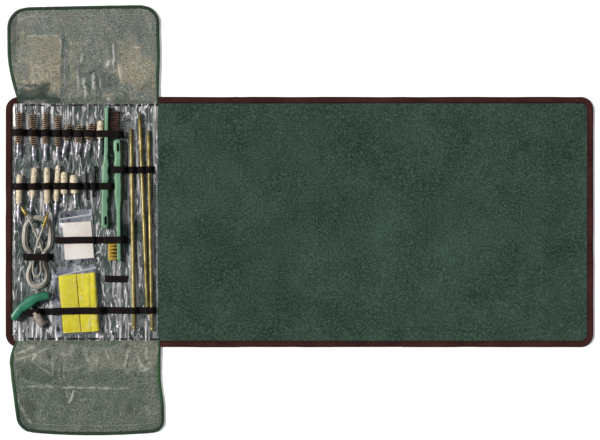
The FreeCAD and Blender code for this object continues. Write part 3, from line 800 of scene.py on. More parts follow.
def relief(x, y):
    """How far the mat's soft wrinkles lift it off the table."""
    edge = ramp(MAT_HALF - np.abs(y), 8, 60) * ramp(MAT_RIGHT - x, 8, 70) * ramp(x, INNER_X - 8, INNER_X + 60)
    broad = layered(x / 95 + 3, y / 80, 5, 2)
    drawn_up = layered(x / 46 + 0.35 * y / 46, y / 58, 9, 3)
    crease = ridges(x / 64 - 0.5 * y / 64, y / 90, 21, 2) ** 3
    return edge * (1.7 * broad + 2.0 * drawn_up + 0.9 * crease)


def corner_inset(y, inset):
    """How far the mat's end is set in at height y, by its round corners."""
    radius = CORNER - inset
    return fall_off(np.clip(np.abs(y) - (MAT_HALF - inset - radius), 0, radius), radius)


def mat_grid(left, right, inset, step, fine):
    """A grid over one stretch of the mat, finer near the places in fine."""
    xs = np.arange(left, right, step)
    for spot in fine:
        if left < spot < right:
            xs = np.concatenate([xs, np.arange(spot - 24, spot + 24, step / 2)])
    xs = np.unique(np.round(np.concatenate([xs, [left, right]]), 2))
    xs = xs[(xs >= left) & (xs <= right)]
    ys = np.linspace(-MAT_HALF + inset, MAT_HALF - inset, int(2 * MAT_HALF / step))
    x, y = np.meshgrid(xs, ys)
    bow = corner_inset(y, inset)
    if left < MAT_LEFT + CORNER:
        x = x + bow * (1 - np.clip((x - left) / 60, 0, 1))
    if right > MAT_RIGHT - CORNER:
        x = x - bow * (1 - np.clip((right - x) / 60, 0, 1))
    return x, y


STRETCHES = {"near": (MAT_LEFT, SEAM_LEFT, "mat_inner", ("tool_panel",)),
             "centre": (SEAM_LEFT, SEAM_RIGHT, "mat_middle", ("inner",)),
             "far": (SEAM_RIGHT, MAT_RIGHT, "mat_outer", ("middle", "outer"))}

# The mat's two sheets: name, inset from its edge, step of the mesh, and the heights of the two sides.
SHEETS = (("felt", 1.6, 3.0, 1.25, FELT_TOP), ("backing", 1.0, 6.0, 0.62, 1.2))


def make_mat():
    for name, (left, right, fold, panels) in STRETCHES.items():
        for kind, inset, step, low, high in SHEETS:
            x, y = mat_grid(left + inset * (name == "near"), right - inset * (name == "far"), inset, step,
                            [FOLDS[fold][0]])
            lift = relief(x, y)
            nap = 0.16 * (noise(x / 5, y / 5, 31) - 0.5) if kind == "felt" else 0
            verts, faces = slab(x, y, low + lift, high + lift + nap)
            sheet = piece(f"{kind}_{name}", verts, faces, kind, None, kind,
                          [f"{kind}_{p}" for p in panels])
            bend_over(sheet)
        make_binding(name, left, right, panels)


# The tape's section, as distance in from the mat's edge and height.
BINDING_PROFILE = [(9.0, 0.02), (5.0, 0.0), (1.2, 0.0), (0.25, 0.45), (0.0, 1.3), (0.0, 2.3), (0.3, 3.2),
                   (1.2, 3.75), (3.2, 3.95), (6.5, 3.85), (8.6, 3.7), (9.05, 3.35), (8.6, 3.05), (4.0, 3.05),
                   (1.4, 3.0), (0.7, 2.4), (0.7, 1.2), (1.4, 0.62), (9.0, 0.6)]


def edge_path(left, right):
    """The mat's edge between two places along it, as stretches of points and inward directions."""
    if MAT_LEFT < left and right < MAT_RIGHT:
        xs = right + (left - right) * np.arange(0, 1.0001, 1 / max(2, int((right - left) / 3)))
        return [np.array([(x, s * MAT_HALF, 0, -s) for x in xs], float) for s in (1, -1)]
    end, sign, start = (MAT_LEFT, 1, right) if left <= MAT_LEFT else (MAT_RIGHT, -1, left)
    stop = end + sign * CORNER
    spots = [(x, MAT_HALF, 0, -1) for x in np.linspace(start, stop, int(abs(start - stop) / 3))[:-1]]
    spots += [(stop - sign * CORNER * math.sin(turn), MAT_HALF - CORNER + CORNER * math.cos(turn),
               sign * math.sin(turn), -math.cos(turn)) for turn in np.linspace(0, math.pi / 2, 12)]
    mirrored = [(x, -y, nx, -ny) for x, y, nx, ny in spots[::-1]]
    spots += [(end, y, sign, 0) for y in np.linspace(MAT_HALF - CORNER, -MAT_HALF + CORNER, 105)[1:-1]]
    return [np.array(spots + mirrored, float)]


def tucked(verts):
    """The tape's points, pressed down where a flap's hem lies over it."""
    low, high = box("flap_hems")
    held = between(verts[:, 0], low[0], high[0], 4, 2)
    verts[:, 2] -= 0.85 * held * (np.abs(verts[:, 1]) > MAT_HALF - 16) * np.maximum(verts[:, 2] - 3.3, 0)
    return verts


STITCH_PITCH, STITCH_LENGTH = 3.6, 2.5


def make_binding(name, left, right, panels):
    """The tape folded over the mat's edge, with a row of stitches near its inner edge."""
    shells, stitches, edge_shade_rows = [], [], []
    profile = np.array(BINDING_PROFILE)
    # Painted shade at the tape's fold over the mat's edge and at its inner edge, where it meets the felt.
    fold_shade = np.maximum(np.exp(-((profile[:, 0] - 0.4) / 0.8) ** 2),
                         np.exp(-((profile[:, 0] - 9.0) / 0.7) ** 2))
    for number, path in enumerate(edge_path(left, right)):
        place, inward = path[:, None, 0:2], path[:, None, 2:4]
        run = distances(path[:, 0:2])
        wave = noise(run / 26, number, 41) - 0.5
        pucker = noise(run / 4.2, number, 43) - 0.5
        depth = profile[None, :, 0:1] * (1 + 0.10 * wave[:, None, None]) - 0.5 * wave[:, None, None]
        height = profile[None, :, 1] + (0.35 * pucker[:, None] + 0.25 * wave[:, None]) * (profile[:, 1] > 2.5)
        flat = place + inward * depth
        verts = np.concatenate([flat, height[:, :, None]], -1).reshape(-1, 3)
        verts[:, 2] = np.maximum(verts[:, 2], 0.0)
        verts = tucked(verts)
        faces = grid_faces(len(path), len(profile), closed=True)
        shells.append((verts, flipped(faces) if number == 1 else faces))
        edge_shade_rows.append(np.tile(fold_shade, len(path)))
        stitches += stitch_row(path, run, 7.3, 3.95)
    tape = piece(f"binding_{name}", *merged(shells), "binding", None, "binding",
                 [f"binding_{p}" for p in panels])
    paint(tape, edge=np.concatenate(edge_shade_rows))
    bend_over(tape)
    threads, faces = merged(stitches)
    row = piece(f"binding_stitches_{name}", tucked(threads), faces, "piping", None, "binding")
    bend_over(row)


def capsule(start, end, radius):
    """One stitch: a short thick thread that dips at both ends."""
    start, end = np.asarray(start, float), np.asarray(end, float)
    spots = [start + (end - start) * t + np.array([0, 0, 0.6 * radius * math.sin(math.pi * t)])
             for t in (0, 0.25, 0.75, 1)]
    return tube(spots, [radius * 0.4, radius, radius, radius * 0.4], 5)


def stitch_row(path, run, inset, height):
    """Stitches along a path of points and inward directions."""
    made = []
    for start in np.arange(1.0, run[-1] - STITCH_PITCH, STITCH_PITCH):
        at = sampled(path, run, np.array([start, start + STITCH_LENGTH]))
        plan = at[:, 0:2] + at[:, 2:4] * inset
        made.append(capsule((*plan[0], height), (*plan[1], height), 0.28))
    return made


# ---------------------------------------------------------------- the clear cover of the tool panel

VINYL_LOW, VINYL_HIGH = box("vinyl_cover")
# Stretches of the cover with nothing on them, where it stands up more: left, right, lowest and highest point.
FREE_PATCHES = ((-272, -243, -160, -132), (-272, -243, -116, -88), (-344, -279, -55, -53))


def pressed(x, y):
    """0 under the straps and 1 away from them."""
    free = 1.0
    for name in HELD:
        left, right, level = strap_line(name)
        free = free * (1 - between(x, left, right, 4) * (1 - ramp(np.abs(y - level(x)), 4.5, 8.5)))
    return free


def vinyl_height(x, y):
    """The crinkled cover: pleats at its two gathered seams and long creases between."""
    near_top = ramp(VINYL_HIGH[1] - y, 46, 0)
    near_low = ramp(y - VINYL_LOW[1], 52, 0)
    sway = 7 * (noise(y / 38, x / 160, 61) - 0.5)
    pleats = crest((x + sway) / 6.2, y / 70, 63) ** 1.6
    creases = ridges((x + sway) / 17, y / 52, 65, 3) ** 1.5
    broken = ridges((x + 0.6 * y) / 15, (y - 0.4 * x) / 19, 71, 3) ** 1.6
    height = 0.55 * creases + 0.55 * broken + 0.9 * pleats * np.maximum(near_top, near_low)
    height = height * ramp(x - VINYL_LOW[0], 0, 5) * ramp(VINYL_HIGH[0] - x, 0, 6)
    lift = 0
    for left, right, low, high in FREE_PATCHES:
        lift = np.maximum(lift, ramp(x, left, left + 8) * ramp(right - x, 0, 8) *
                          ramp(y, low, low + 8) * ramp(high - y, 0, 8))
    height = height + 0.5 * np.exp(-((x - VINYL_LOW[0] - 4) / 1.5) ** 2)
    return (np.minimum(height, 1.0) + lift * 2.6 * broken) * (0.25 + 0.75 * pressed(x, y))


# Where long creases run between tools: left and right end of the stretch, lowest and highest point, how many.
CREASED = [(-400, -288, 84, 163, 34), (-400, -282, -6, 84, 34), (-262, -200, -20, 160, 34),
           (-262, -200, -162, 0, 22), (-400, -345, -160, -100, 7), (-282, -240, -160, -85, 5)]


def crease_strokes(x, y):
    """Pale creases with painted highlights, and their dark sides with painted shade, drawn down between the
    tools by the loops.
    """
    bright, dark = np.zeros(x.shape), np.zeros(x.shape)
    for left, right, low, high, count in CREASED:
        for number in range(count):
            middle = left + (right - left) * (number + rng.random()) / count
            length = (high - low) * rng.uniform(0.2, 0.6)
            start = low + (high - low - length) * rng.random()
            slant, bow = rng.normal(0, 2.5), rng.normal(0, 1.5)
            line = stroke(x, y, (middle, start), (middle + slant, start + length), rng.uniform(0.9, 1.6), bow)
            if number % 2:
                dark = np.maximum(dark, line * rng.uniform(0.7, 1.0))
            else:
                bright = np.maximum(bright, line * rng.uniform(0.4, 0.85))
                shade_beside = stroke(x, y, (middle + 2.1, start), (middle + slant + 2.1, start + length), 1.2, bow)
                dark = np.maximum(dark, shade_beside * 0.7)
    return bright, dark


def make_vinyl():
    xs = np.arange(VINYL_LOW[0], VINYL_HIGH[0] + 0.5, 1.1)
    ys = np.arange(VINYL_LOW[1] - 1, VINYL_HIGH[1] + 1.5, 1.7)
    x, y = np.meshgrid(xs, ys)
    bright, dark = crease_strokes(x, y)
    z = FELT_TOP + 0.22 + vinyl_height(x, y) + 0.35 * bright * pressed(x, y)
    cover = piece("vinyl_cover_sheet", np.stack([x, y, z], -1), grid_faces(*x.shape), "panel_vinyl",
                  None, "clear_vinyl", ["vinyl_cover"])
    # The creases' painted highlights and painted shade, for the material to read.
    paint(cover, bright=bright, dark=dark)
    bend_over(cover)

    made = []
    for column in (VINYL_HIGH[0] - 6.4, VINYL_HIGH[0] - 2.2):
        run = np.arange(VINYL_LOW[1] + 2, VINYL_HIGH[1] - 3, 3.3)
        for spot in run:
            made.append(capsule((column, spot, FELT_TOP + 1.25), (column, spot + 2.1, FELT_TOP + 1.25), 0.34))
    row = piece("vinyl_side_stitches", *merged(made), "thread", None, "clear_vinyl")
    bend_over(row)


# ---------------------------------------------------------------- the two flaps

# How far the flaps' seams are from the middle of the mat, the edging's radius and its line's inset.
FLAP_SEAM = 165.3
EDGING = 2.8
EDGING_INSET = 2.2

# Creases of each flap's facing, as x and distance out from the seam at both ends, width, bow and strength.
# A pale crease stands up and carries a painted highlight. A dark one is a dip and carries painted shade.
CREASES = {
    "top": [
        (-378, 97, -334, 96, 1.3, 0, 0.55), (-333, 96, -334, 62, 1.2, 0, 0.5),
        (-303, 71, -305, 56, 1.6, 1, 0.8), (-301, 36, -300, 7, 2.0, 1, 0.9),
        (-288, 42, -288, 13, 1.8, 1, 0.8), (-259, 83, -259, 50, 1.2, 0, 0.7),
        (-266, 60, -269, 51, 2.2, 0, 0.8), (-229, 80, -221, 78, 1.5, 0, 0.9),
        (-254, 86, -240, 85, 1.6, 0, 0.5), (-309, 62, -311, 3, 1.4, 1, 0.35),
        (-322, 12, -322, 1, 1.3, 0, 0.5), (-346, 24, -331, 3, 1.5, 1, 0.4),
        (-397, 25, -379, 23, 2.4, 0, 0.45), (-276, 9, -264, 6, 3.6, 0, 0.6),
        (-392, 118, -368, 124, 1.3, 2, 0.35), (-213, 120, -207, 100, 1.3, 2, 0.35),
        (-236, 60, -214, 40, 1.4, 3, 0.3), (-370, 52, -352, 42, 1.5, 2, 0.3),
        (-396, 28, -351, 24, 2.2, -1, -1.0), (-385, 24, -374, 30, 2.0, 0, -0.7),
        (-352, 24, -338, 3, 1.8, 0, -0.6), (-285, 43, -278, 8, 1.9, 1, -0.9),
        (-295, 40, -283, 44, 2.4, 2, -1.0), (-294, 28, -293, 12, 1.3, 0, -0.7),
        (-256, 62, -252, 30, 1.6, 0, -0.5), (-247, 17, -240, 11, 2.4, 0, -0.8),
        (-330, 92, -331, 20, 3.4, 0, -0.6), (-310, 50, -296, 52, 2.4, 2, -0.6),
        (-262, 64, -262, 84, 1.6, 0, -0.4), (-234, 34, -226, 26, 1.4, 0, -0.5)],
    "bottom": [
        (-390, 65, -236, 68, 1.3, 0, 0.75), (-388, 55, -345, 65, 1.5, 1, 0.5),
        (-315, 70, -323, 89, 1.3, -2, 0.7), (-393, 82, -374, 119, 1.9, 2, 0.6),
        (-400, 20, -362, 3, 2.0, 2, 0.6), (-398, 29, -352, 10, 1.7, 2, 0.5),
        (-386, 11, -366, 5, 1.5, 0, 0.4), (-357, 11, -373, 28, 1.8, 1, 0.6),
        (-372, 29, -346, 48, 1.5, 2, 0.5), (-346, 28, -345, 50, 1.5, 0, 0.4),
        (-340, 14, -322, 20, 2.0, 2, 0.5), (-318, 7, -316, 27, 1.8, 2, 0.45),
        (-300, 10, -290, 34, 1.8, 3, 0.45), (-270, 12, -262, 30, 1.6, 2, 0.4),
        (-238, 11, -243, 38, 1.8, 1, 0.55), (-225, 20, -214, 41, 1.8, 3, 0.6),
        (-213, 9, -208, 35, 1.7, 2, 0.55), (-222, 30, -223, 47, 1.5, 0, 0.45),
        (-210, 40, -225, 48, 1.6, 2, 0.5), (-340, 88, -332, 92, 1.4, 2, 0.4),
        (-306, 84, -296, 80, 1.8, 2, 0.45), (-332, 30, -331, 53, 1.7, 0, -0.8),
        (-330, 64, -326, 85, 1.5, 0, -0.5), (-355, 12, -346, 30, 1.8, 0, -0.6),
        (-370, 32, -350, 48, 1.8, 2, -0.5), (-244, 12, -240, 4, 2.2, 0, -0.8),
        (-217, 32, -208, 29, 1.7, 0, -0.7), (-285, 36, -284, 62, 2.0, 0, -0.45),
        (-240, 24, -239, 40, 1.5, 0, -0.6), (-397, 36, -380, 44, 2.2, 0, -0.4),
        (-236, 88, -234, 104, 4.0, 0, -0.4), (-312, 18, -306, 10, 2.0, 0, -0.5)],
}
# Broad marks: left, right, nearest and furthest distance out, softness, and what each adds to tan, dark and
# touch. What they add to dark is painted shade, over folds and along the seam.
MARKS = {
    "top": [
        (-378, -333, 18, 95, 4, 0.75, 0.0, 0.20), (-254, -201, 22, 62, 4, 0.8, 0.0, 0.20),
        (-254, -226, 60, 84, 6, 0.6, 0.0, 0.15), (-277, -261, 0, 11, 3, 0.8, 0.0, 0.25),
        (-326, -310, 12, 90, 5, 0.25, 0.0, 0.10), (-398, -380, 22, 112, 5, 0.25, 0.0, 0.12),
        (-396, -351, 2, 26, 3, 0.0, 0.80, -0.35), (-350, -330, 2, 16, 4, 0.0, 0.55, -0.20),
        (-332, -321, 16, 95, 3, -0.4, 0.45, -0.10), (-306, -256, 18, 50, 6, -0.4, 0.42, -0.10),
        (-408, -394, 60, 126, 3, 0.0, 0.50, -0.15), (-262, -208, 92, 124, 12, -0.3, 0.15, -0.05),
        (-400, -198, -4, 9, 3, 0.0, 0.42, -0.20), (-366, -350, 100, 118, 6, -0.2, 0.12, 0.0),
        (-300, -284, 76, 92, 6, -0.3, 0.15, 0.0)],
    "bottom": [
        (-400, -345, 4, 34, 6, 0.5, 0.0, 0.22), (-345, -286, 5, 44, 5, 0.45, 0.0, 0.20),
        (-288, -198, 4, 45, 4, 0.6, 0.0, 0.25), (-391, -342, 38, 60, 4, -0.2, 0.22, -0.15),
        (-400, -372, 84, 132, 8, 0.0, 0.42, -0.15), (-282, -274, 48, 88, 3, -0.5, 0.0, 0.12),
        (-356, -346, 16, 40, 3, -0.4, 0.0, 0.05), (-310, -296, 14, 32, 4, -0.4, 0.0, 0.05),
        (-214, -200, 50, 118, 5, 0.3, 0.0, 0.10), (-320, -300, 92, 112, 9, 0.1, 0.0, 0.10)],
}
# How closely in touch and how tan each facing looks away from its marks.
BASE_TOUCH = {"top": 0.60, "bottom": 0.56}
BASE_TAN = {"top": 0.25, "bottom": 0.15}


# The height at which the facing starts to level off, and how much higher it can still get.
FACING_BENDS, FACING_SPARE = 3.85, 0.35


class Flap:
    """One flap's outline and relief, from its edging's CAD box."""

    def __init__(self, side):
        self.side = side
        self.sign = 1 if side == "top" else -1
        self.body = f"flap_{side}_body"
        low, high = box(f"flap_{side}_edging")
        self.left, self.right = low[0], high[0]
        self.reach = max(abs(low[1]), abs(high[1])) - FLAP_SEAM

    def grid(self, u, v, inset):
        """Plan positions for shares u across and v outwards, and their distances out from the seam."""
        out = v * (self.reach - inset)
        if self.side == "top":
            left = self.left + 16 * np.clip(1 - out / 75, 0, 1) ** 1.7
            right = self.right - 0.9 * (1 - ramp(out, 20, 70))
            drop, corners = 3.0 * (1 - u) ** 1.3, (28, 26)
        else:
            left = (self.left + 9.5 * np.clip(1 - out / 31, 0, 1) ** 1.5 +
                    8.0 * np.clip((out - 31) / 65, 0, 1.2))
            right = self.right - 4.3 * (1 - ramp(out, 50, 100))
            drop, corners = 3.4 * (2 * u - 1) ** 2, (24, 17)
        bows = []
        for corner in corners:
            radius = corner - inset
            bows.append(fall_off(np.clip(out - (self.reach - corner), 0, radius), radius))
        x = (left + inset + bows[0]) * (1 - u) + (right - inset - bows[1]) * u
        wobble = 0.8 * (noise(u * 6, v * 4, 81 + self.sign) - 0.5) * ramp(out, 0, 30)
        return x + wobble, self.sign * (FLAP_SEAM + out - drop * ramp(out, 40, 130)), out

    def creases(self, x, out):
        """The pale and the dark creases at plan positions, which are painted as highlights and shade."""
        bright, dark = np.zeros(x.shape), np.zeros(x.shape)
        sway_x, sway_y = (3 * (layered(x / 9, out / 9, seed, 2) - 0.5) for seed in (121, 123))
        for x0, out0, x1, out1, width, bow, strength in CREASES[self.side]:
            line = stroke(x + sway_x, out + sway_y, (x0, out0), (x1, out1), width, bow)
            if strength > 0:
                bright = np.maximum(bright, line * strength)
            else:
                dark = np.maximum(dark, -line * strength)
        return bright, dark

    def height(self, x, out):
        """The middle of the cloth, which lies over the binding, drops to the table and wrinkles."""
        rise = 3.5 * (1 - ramp(out, 12.5, 26))
        soft = 1.3 * layered(x / 44, out / 40, 85 + self.sign, 3)
        soft = soft + 0.7 * ridges(x / 50 + out / 90, out / 34, 91 + self.sign, 2) ** 2
        if self.side == "top":
            soft = soft + 0.7 * area(x, out, -374, -336, 26, 90, 12)
            soft = soft + 0.6 * area(x, out, -252, -206, 24, 60, 7)
        gathers = crest(x / 11 + out / 90, out / 60, 101) ** 1.6 * ramp(-out, -46, -8)
        bright, dark = self.creases(x, out)
        return 0.5 + rise + (soft + gathers + 1.3 * bright + 0.9 * (1 - dark)) * ramp(out, 11, 30)

    def facing(self, x, out):
        """The top of the clear facing, which stays under the tools that slide out over it."""
        away = ramp(out, 9, 26)
        crinkle = 0.5 * ridges(x / 12 + 0.3 * out / 12, out / 15, 95 + self.sign, 3) ** 1.5
        pleats = ramp(-out, -40, 0) * crest(x / 7.5, out / 44, 99) ** 1.5
        z = self.height(x, out) + 0.15 + 0.5 * away + 0.9 * (crinkle + pleats) * (0.2 + 0.8 * away)
        over = np.maximum(z - FACING_BENDS, 0)
        return np.minimum(z, FACING_BENDS) + FACING_SPARE * (1 - np.exp(-over / FACING_SPARE))

    def marks(self, x, out):
        """How tan, how darkened with painted shade and how closely in touch the facing looks at plan
        positions.
        """
        sway = 26 * (layered(x / 15, out / 15, 125, 4) - 0.5)
        bases = (BASE_TAN[self.side], 0.0, BASE_TOUCH[self.side])
        tan, dark, touch = (np.full(x.shape, base) for base in bases)
        for left, right, near, far, soft, more_tan, more_dark, more_touch in MARKS[self.side]:
            inside = area(x + sway, out + sway, left, right, near, far, soft)
            tan, dark, touch = tan + more_tan * inside, dark + more_dark * inside, touch + more_touch * inside
        cloud = layered(x / 24, out / 24, 127, 3) - 0.5
        return np.clip(tan + 0.5 * cloud, 0, 1), np.clip(dark, 0, 1), np.clip(touch - 0.35 * cloud, 0.05, 1)


def make_flap(side):
    flap = Flap(side)
    sign = flap.sign

    def sheet_grid(columns, rows):
        u, v = np.meshgrid(np.linspace(0, 1, columns), np.linspace(0, 1, rows))
        x, y, out = flap.grid(u, v, 2.9)
        return (x, y, out) if sign > 0 else (x[::-1], y[::-1], out[::-1])

    x, y, out = sheet_grid(84, 58)
    top = np.minimum(flap.height(x, out), flap.facing(x, out) - 0.2)
    under = top - 0.15 - 0.5 * ramp(out, 9, 26)
    cloth = piece(f"flap_{side}_cloth", *slab(x, y, np.maximum(under, 0.05), top), "flap_cloth", None,
                  "flap_cloth", [f"flap_{side}"] + (["flap_hems"] if sign > 0 else []))
    x, y, out = sheet_grid(170, 112)
    facing = piece(f"flap_{side}_facing", np.stack([x, y, flap.facing(x, out)], -1), grid_faces(*x.shape),
                   f"flap_{side}_vinyl", None, "clear_vinyl", [f"flap_{side}_vinyl"])
    # Painted highlights on the pale creases, painted shade in the dark creases and under the dark marks.
    bright, dip_shade = flap.creases(x, out)
    tan, dark, touch = flap.marks(x, out)
    paint(facing, tan=tan, touch=touch, bright=bright, dark=np.clip(np.maximum(dark, dip_shade), 0, 1))

    rim_u = np.concatenate([np.zeros(70), np.linspace(0, 1, 90), np.ones(70)])
    rim_v = np.concatenate([np.linspace(0, 1, 70), np.ones(90), np.linspace(1, 0, 70)])
    rx, ry, rout = flap.grid(rim_u, rim_v, EDGING_INSET)
    rim = np.stack([rx, ry, flap.height(rx, rout), rout], -1)
    rim = rim[np.concatenate([[True], np.diff(distances(rim[:, :3])) > 0.4])]
    run = distances(rim[:, :3])
    dense = np.arange(0, run[-1], 0.6)
    rim = sampled(rim, run, dense)
    rim, out = rim[:, :3], rim[:, 3]
    bead = 0.5 + 0.5 * np.sin(dense * 2 * math.pi / 2.6)
    width = EDGING * (0.86 + 0.18 * bead) + 0.2 * (noise(dense / 3, 0, 97) - 0.5)
    rim[:, 2] = np.clip(rim[:, 2], width * 0.62, FACING_BENDS + FACING_SPARE - width * 0.6)
    edging = piece(f"flap_{side}_overlock", *tube(rim, width, 10, squeeze=0.6), "edging", None,
                   "edging", [f"flap_{side}_edging"])
    # Painted light and shade on the edging: its beads are lighter than the hollows between them, and lighter
    # near the seam than at the far edge.
    lit = 0.25 + (0.5 if sign < 0 else 0.3) * ramp(-out, -110, -70)
    paint(edging, tip=np.repeat(np.clip(bead * lit, 0, 1), 10))

    inner = flap.grid(rim_u, rim_v, 13.0)
    line = np.stack([inner[0], inner[1], flap.facing(inner[0], inner[2])], -1)
    run = distances(line)
    made = [capsule(*sampled(line, run, np.array([start, start + 2.6])), 0.24)
            for start in np.arange(20, run[-1] - 20, 3.4)]
    stitches = piece(f"flap_{side}_stitches", *merged(made), "flap_thread", None, "edging")

    # A near-black cord along the seam, as wide as the dark line there, which is partly its shadow: a real
    # cord with painted shadow.
    seam_x = np.linspace(-395.5 if sign < 0 else -393, -197.8, 160)
    scallop = 0.8 * (noise(seam_x / 9, 0, 98) - 0.5)
    seam = np.stack([seam_x, sign * (FLAP_SEAM - 1.9 + scallop), FELT_TOP + 0.45 + 0 * seam_x], -1)
    piping = piece(f"flap_{side}_seam", *tube(seam, 1.9 + 0.4 * noise(seam_x / 4, 0, 99), 8, squeeze=0.34),
                   "piping", None, "hem")
    for thing in (cloth, facing, edging, stitches):
        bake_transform(thing)
    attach(piping, "tool_panel")


# ---------------------------------------------------------------- slim tools, each turned about its own axis

class Spindle:
    """A turned CAD node's axis at rest: where its ferrule ends, which way it runs, and its sizes."""

    def __init__(self, node, body):
        self.node, self.body = node, body
        way = np.array(JOINTS[body]["axis"], float)
        self.way = way if way[1] > 0 else -way
        side = np.array([self.way[1], -self.way[0], 0.0])
        points = node_points(node)
        along, across, up = points @ self.way, points @ side, points[:, 2]
        middle = (across.min() + across.max()) / 2
        level = (up.min() + up.max()) / 2
        radius = np.hypot(across - middle, up - level)
        self.origin = self.way * along.min() + side * middle + UP * level
        self.length = along.max() - along.min()
        self.half = radius.max()
        self.head = along[radius > 0.62 * self.half].min() - along.min()

    def at(self, level):
        """Where the axis crosses a height across the mat, as x, z and the lean's slope."""
        run = (level - self.origin[1]) / self.way[1]
        return self.origin[0] + self.way[0] * run, self.origin[2], abs(self.way[0] / self.way[1])

    def make(self, name, shape, material, slot, replaces=()):
        verts, faces = shape
        return piece(name, aimed(verts, self.origin, self.way), faces, material, self.body, slot, replaces)


BRUSH_NAMES = [f"brush_{i}" for i in range(1, 8)]
MOP_NAMES = [f"mop_{i}" for i in range(1, 8)]
ROD_NAMES = [f"rod_{i}" for i in range(1, 4)]
SPINDLES = {name: Spindle(name, f"{name}_tool")
            for name in BRUSH_NAMES + MOP_NAMES + ROD_NAMES + ["spear_tip", "slotted_tip"]}
# The distance between turns of a brush's bristles.
ROW_PITCH = 2.9


def ferrule_stations(shoulder, neck):
    """A threaded end, a collar, a plain body with two crimped rings and a taper to the neck."""
    stations = [(1.1, 0.0)] + thread(0.3, 6.2, 1.6, 0.3, 0.8) + [(1.25, 6.5), (1.9, 6.8)]
    for crimp in (shoulder - 7.5, shoulder - 5.5):
        if crimp > 8.5:
            stations += [(1.9, crimp - 0.5), (1.6, crimp), (1.9, crimp + 0.5)]
    return stations + [(1.9, shoulder - 3.6), (neck + 0.25, shoulder - 1.9), (neck, shoulder - 1.0),
                       (neck, shoulder)]


def make_brush(name):
    """A bore brush: rows of bristles stand out from a core of twisted wire."""
    tool = SPINDLES[name]
    shoulder, length = tool.head, tool.length
    ferrule = lathe(ferrule_stations(shoulder, 1.1), 18)
    tool.make(f"{name}_ferrule", ferrule, "ferrule", "bronze_bristle", [name])
    run = np.arange(shoulder - 0.8, length - 0.3, 0.5)
    strands = []
    for start in (0, math.pi):
        turn = run * math.pi / ROW_PITCH + start
        strands.append(tube(around(0.5, run, turn), 0.5, 6))
    tool.make(f"{name}_core", merged(strands), "wire", "bronze_bristle")

    # A near-black sleeve round the core stands for the packed bristle roots, coloured as painted shade.
    thick = tool.half * 0.52
    sleeve = [(0.9, shoulder + 0.3), (thick * 0.8, shoulder + 1.6), (thick, shoulder + 3.5),
              (thick, length - 5), (thick * 0.75, length - 2.6), (0.6, length - 1.4)]
    tool.make(f"{name}_roots", lathe(sleeve, 16), "bronze_root_shade", "bronze_bristle")
    turn = np.arange(0, 2 * math.pi * (length - shoulder - 2.4) / ROW_PITCH, 0.115)
    count = len(turn)
    spots = shoulder + 1.2 + ROW_PITCH * (np.floor(turn / (2 * math.pi)) + 0.18 * np.cos(turn))
    taper = np.minimum(ramp(spots - shoulder, -1.5, 3.2), 0.62 + 0.38 * ramp(length - spots, 0, 5))
    reach = tool.half * taper * (0.97 + 0.05 * rng.random(count))
    drift = rng.normal(0, 0.16, count)
    tips = around(reach, np.clip(spots + drift, shoulder, length - 0.2), turn)
    bristles = tool.make(f"{name}_bristles", needles(around(0.6, spots, turn), tips, 0.62), "bronze",
                         "bronze_bristle")
    # Painted shade: the bristles darken towards their roots.
    paint(bristles, tip=np.tile([0, 0, 0, 1, 1, 1], count))


def make_mop(name):
    """A cotton mop: a tufted body with loose ends of yarn and a small crown."""
    tool = SPINDLES[name]
    shoulder, length = tool.head, tool.length
    tool.make(f"{name}_ferrule", lathe(ferrule_stations(shoulder, 1.25), 18), "ferrule", "cotton_mop", [name])
    rows, sides = int((length - shoulder) / 0.62), 34
    along, turn = np.meshgrid(np.linspace(shoulder - 0.2, length - 1.2, rows),
                              turns(sides), indexing="ij")
    seed = 200 + int(name[-1])
    shape = 0.80 + 0.20 * np.sin(math.pi * np.clip((along - shoulder) / (length - shoulder), 0, 1)) ** 0.7
    shape = shape * np.minimum(ramp(along - shoulder, -2.0, 2.6) * 0.75 + 0.25,
                               ramp(length - along, -1.5, 3.2) * 0.6 + 0.4)
    round_x, round_y = np.cos(turn) * tool.half / 1.5, np.sin(turn) * tool.half / 1.5
    tufts = ridges(along / 2.4 + 0.7 * round_x, round_x + 2.7 * round_y + along / 7, seed, 2)
    radius = (tool.half - 0.35) * shape * (0.84 + 0.16 * tufts)
    tool.make(f"{name}_cotton", (around(radius, along, turn).reshape(-1, 3), flipped(barrel(rows, sides))),
              "cotton", "cotton_mop")

    count = int(17 * (length - shoulder))
    spots = shoulder + (length - 2.5 - shoulder) * rng.random(count)
    turn = 2 * math.pi * rng.random(count)
    cap = np.minimum(ramp(spots - shoulder, -2.0, 3), 0.5 + 0.5 * ramp(length - spots, -1, 4))
    low = tool.half * cap * 0.72
    high = tool.half * cap * (0.93 + 0.08 * rng.random(count))
    lean = rng.normal(0, 0.16, count)
    drift = 0.9 * rng.normal(0.4, 0.8, count)
    roots = around(low, spots, turn)
    tips = around(high, np.clip(spots + drift, shoulder, length - 0.4), turn + lean)
    crown = 2 * math.pi * (np.arange(16) + 0.3 * rng.random(16)) / 16
    wide = tool.half * 0.55
    crown_roots = around(wide * 0.6, length - 3.5, crown)
    crown_tips = around(wide, length - 0.7 + 0.5 * rng.random(16), crown)
    strands = merged([needles(roots, tips, 0.42), needles(crown_roots, crown_tips, 0.8)])
    tool.make(f"{name}_yarn", strands, "cotton", "cotton_mop")


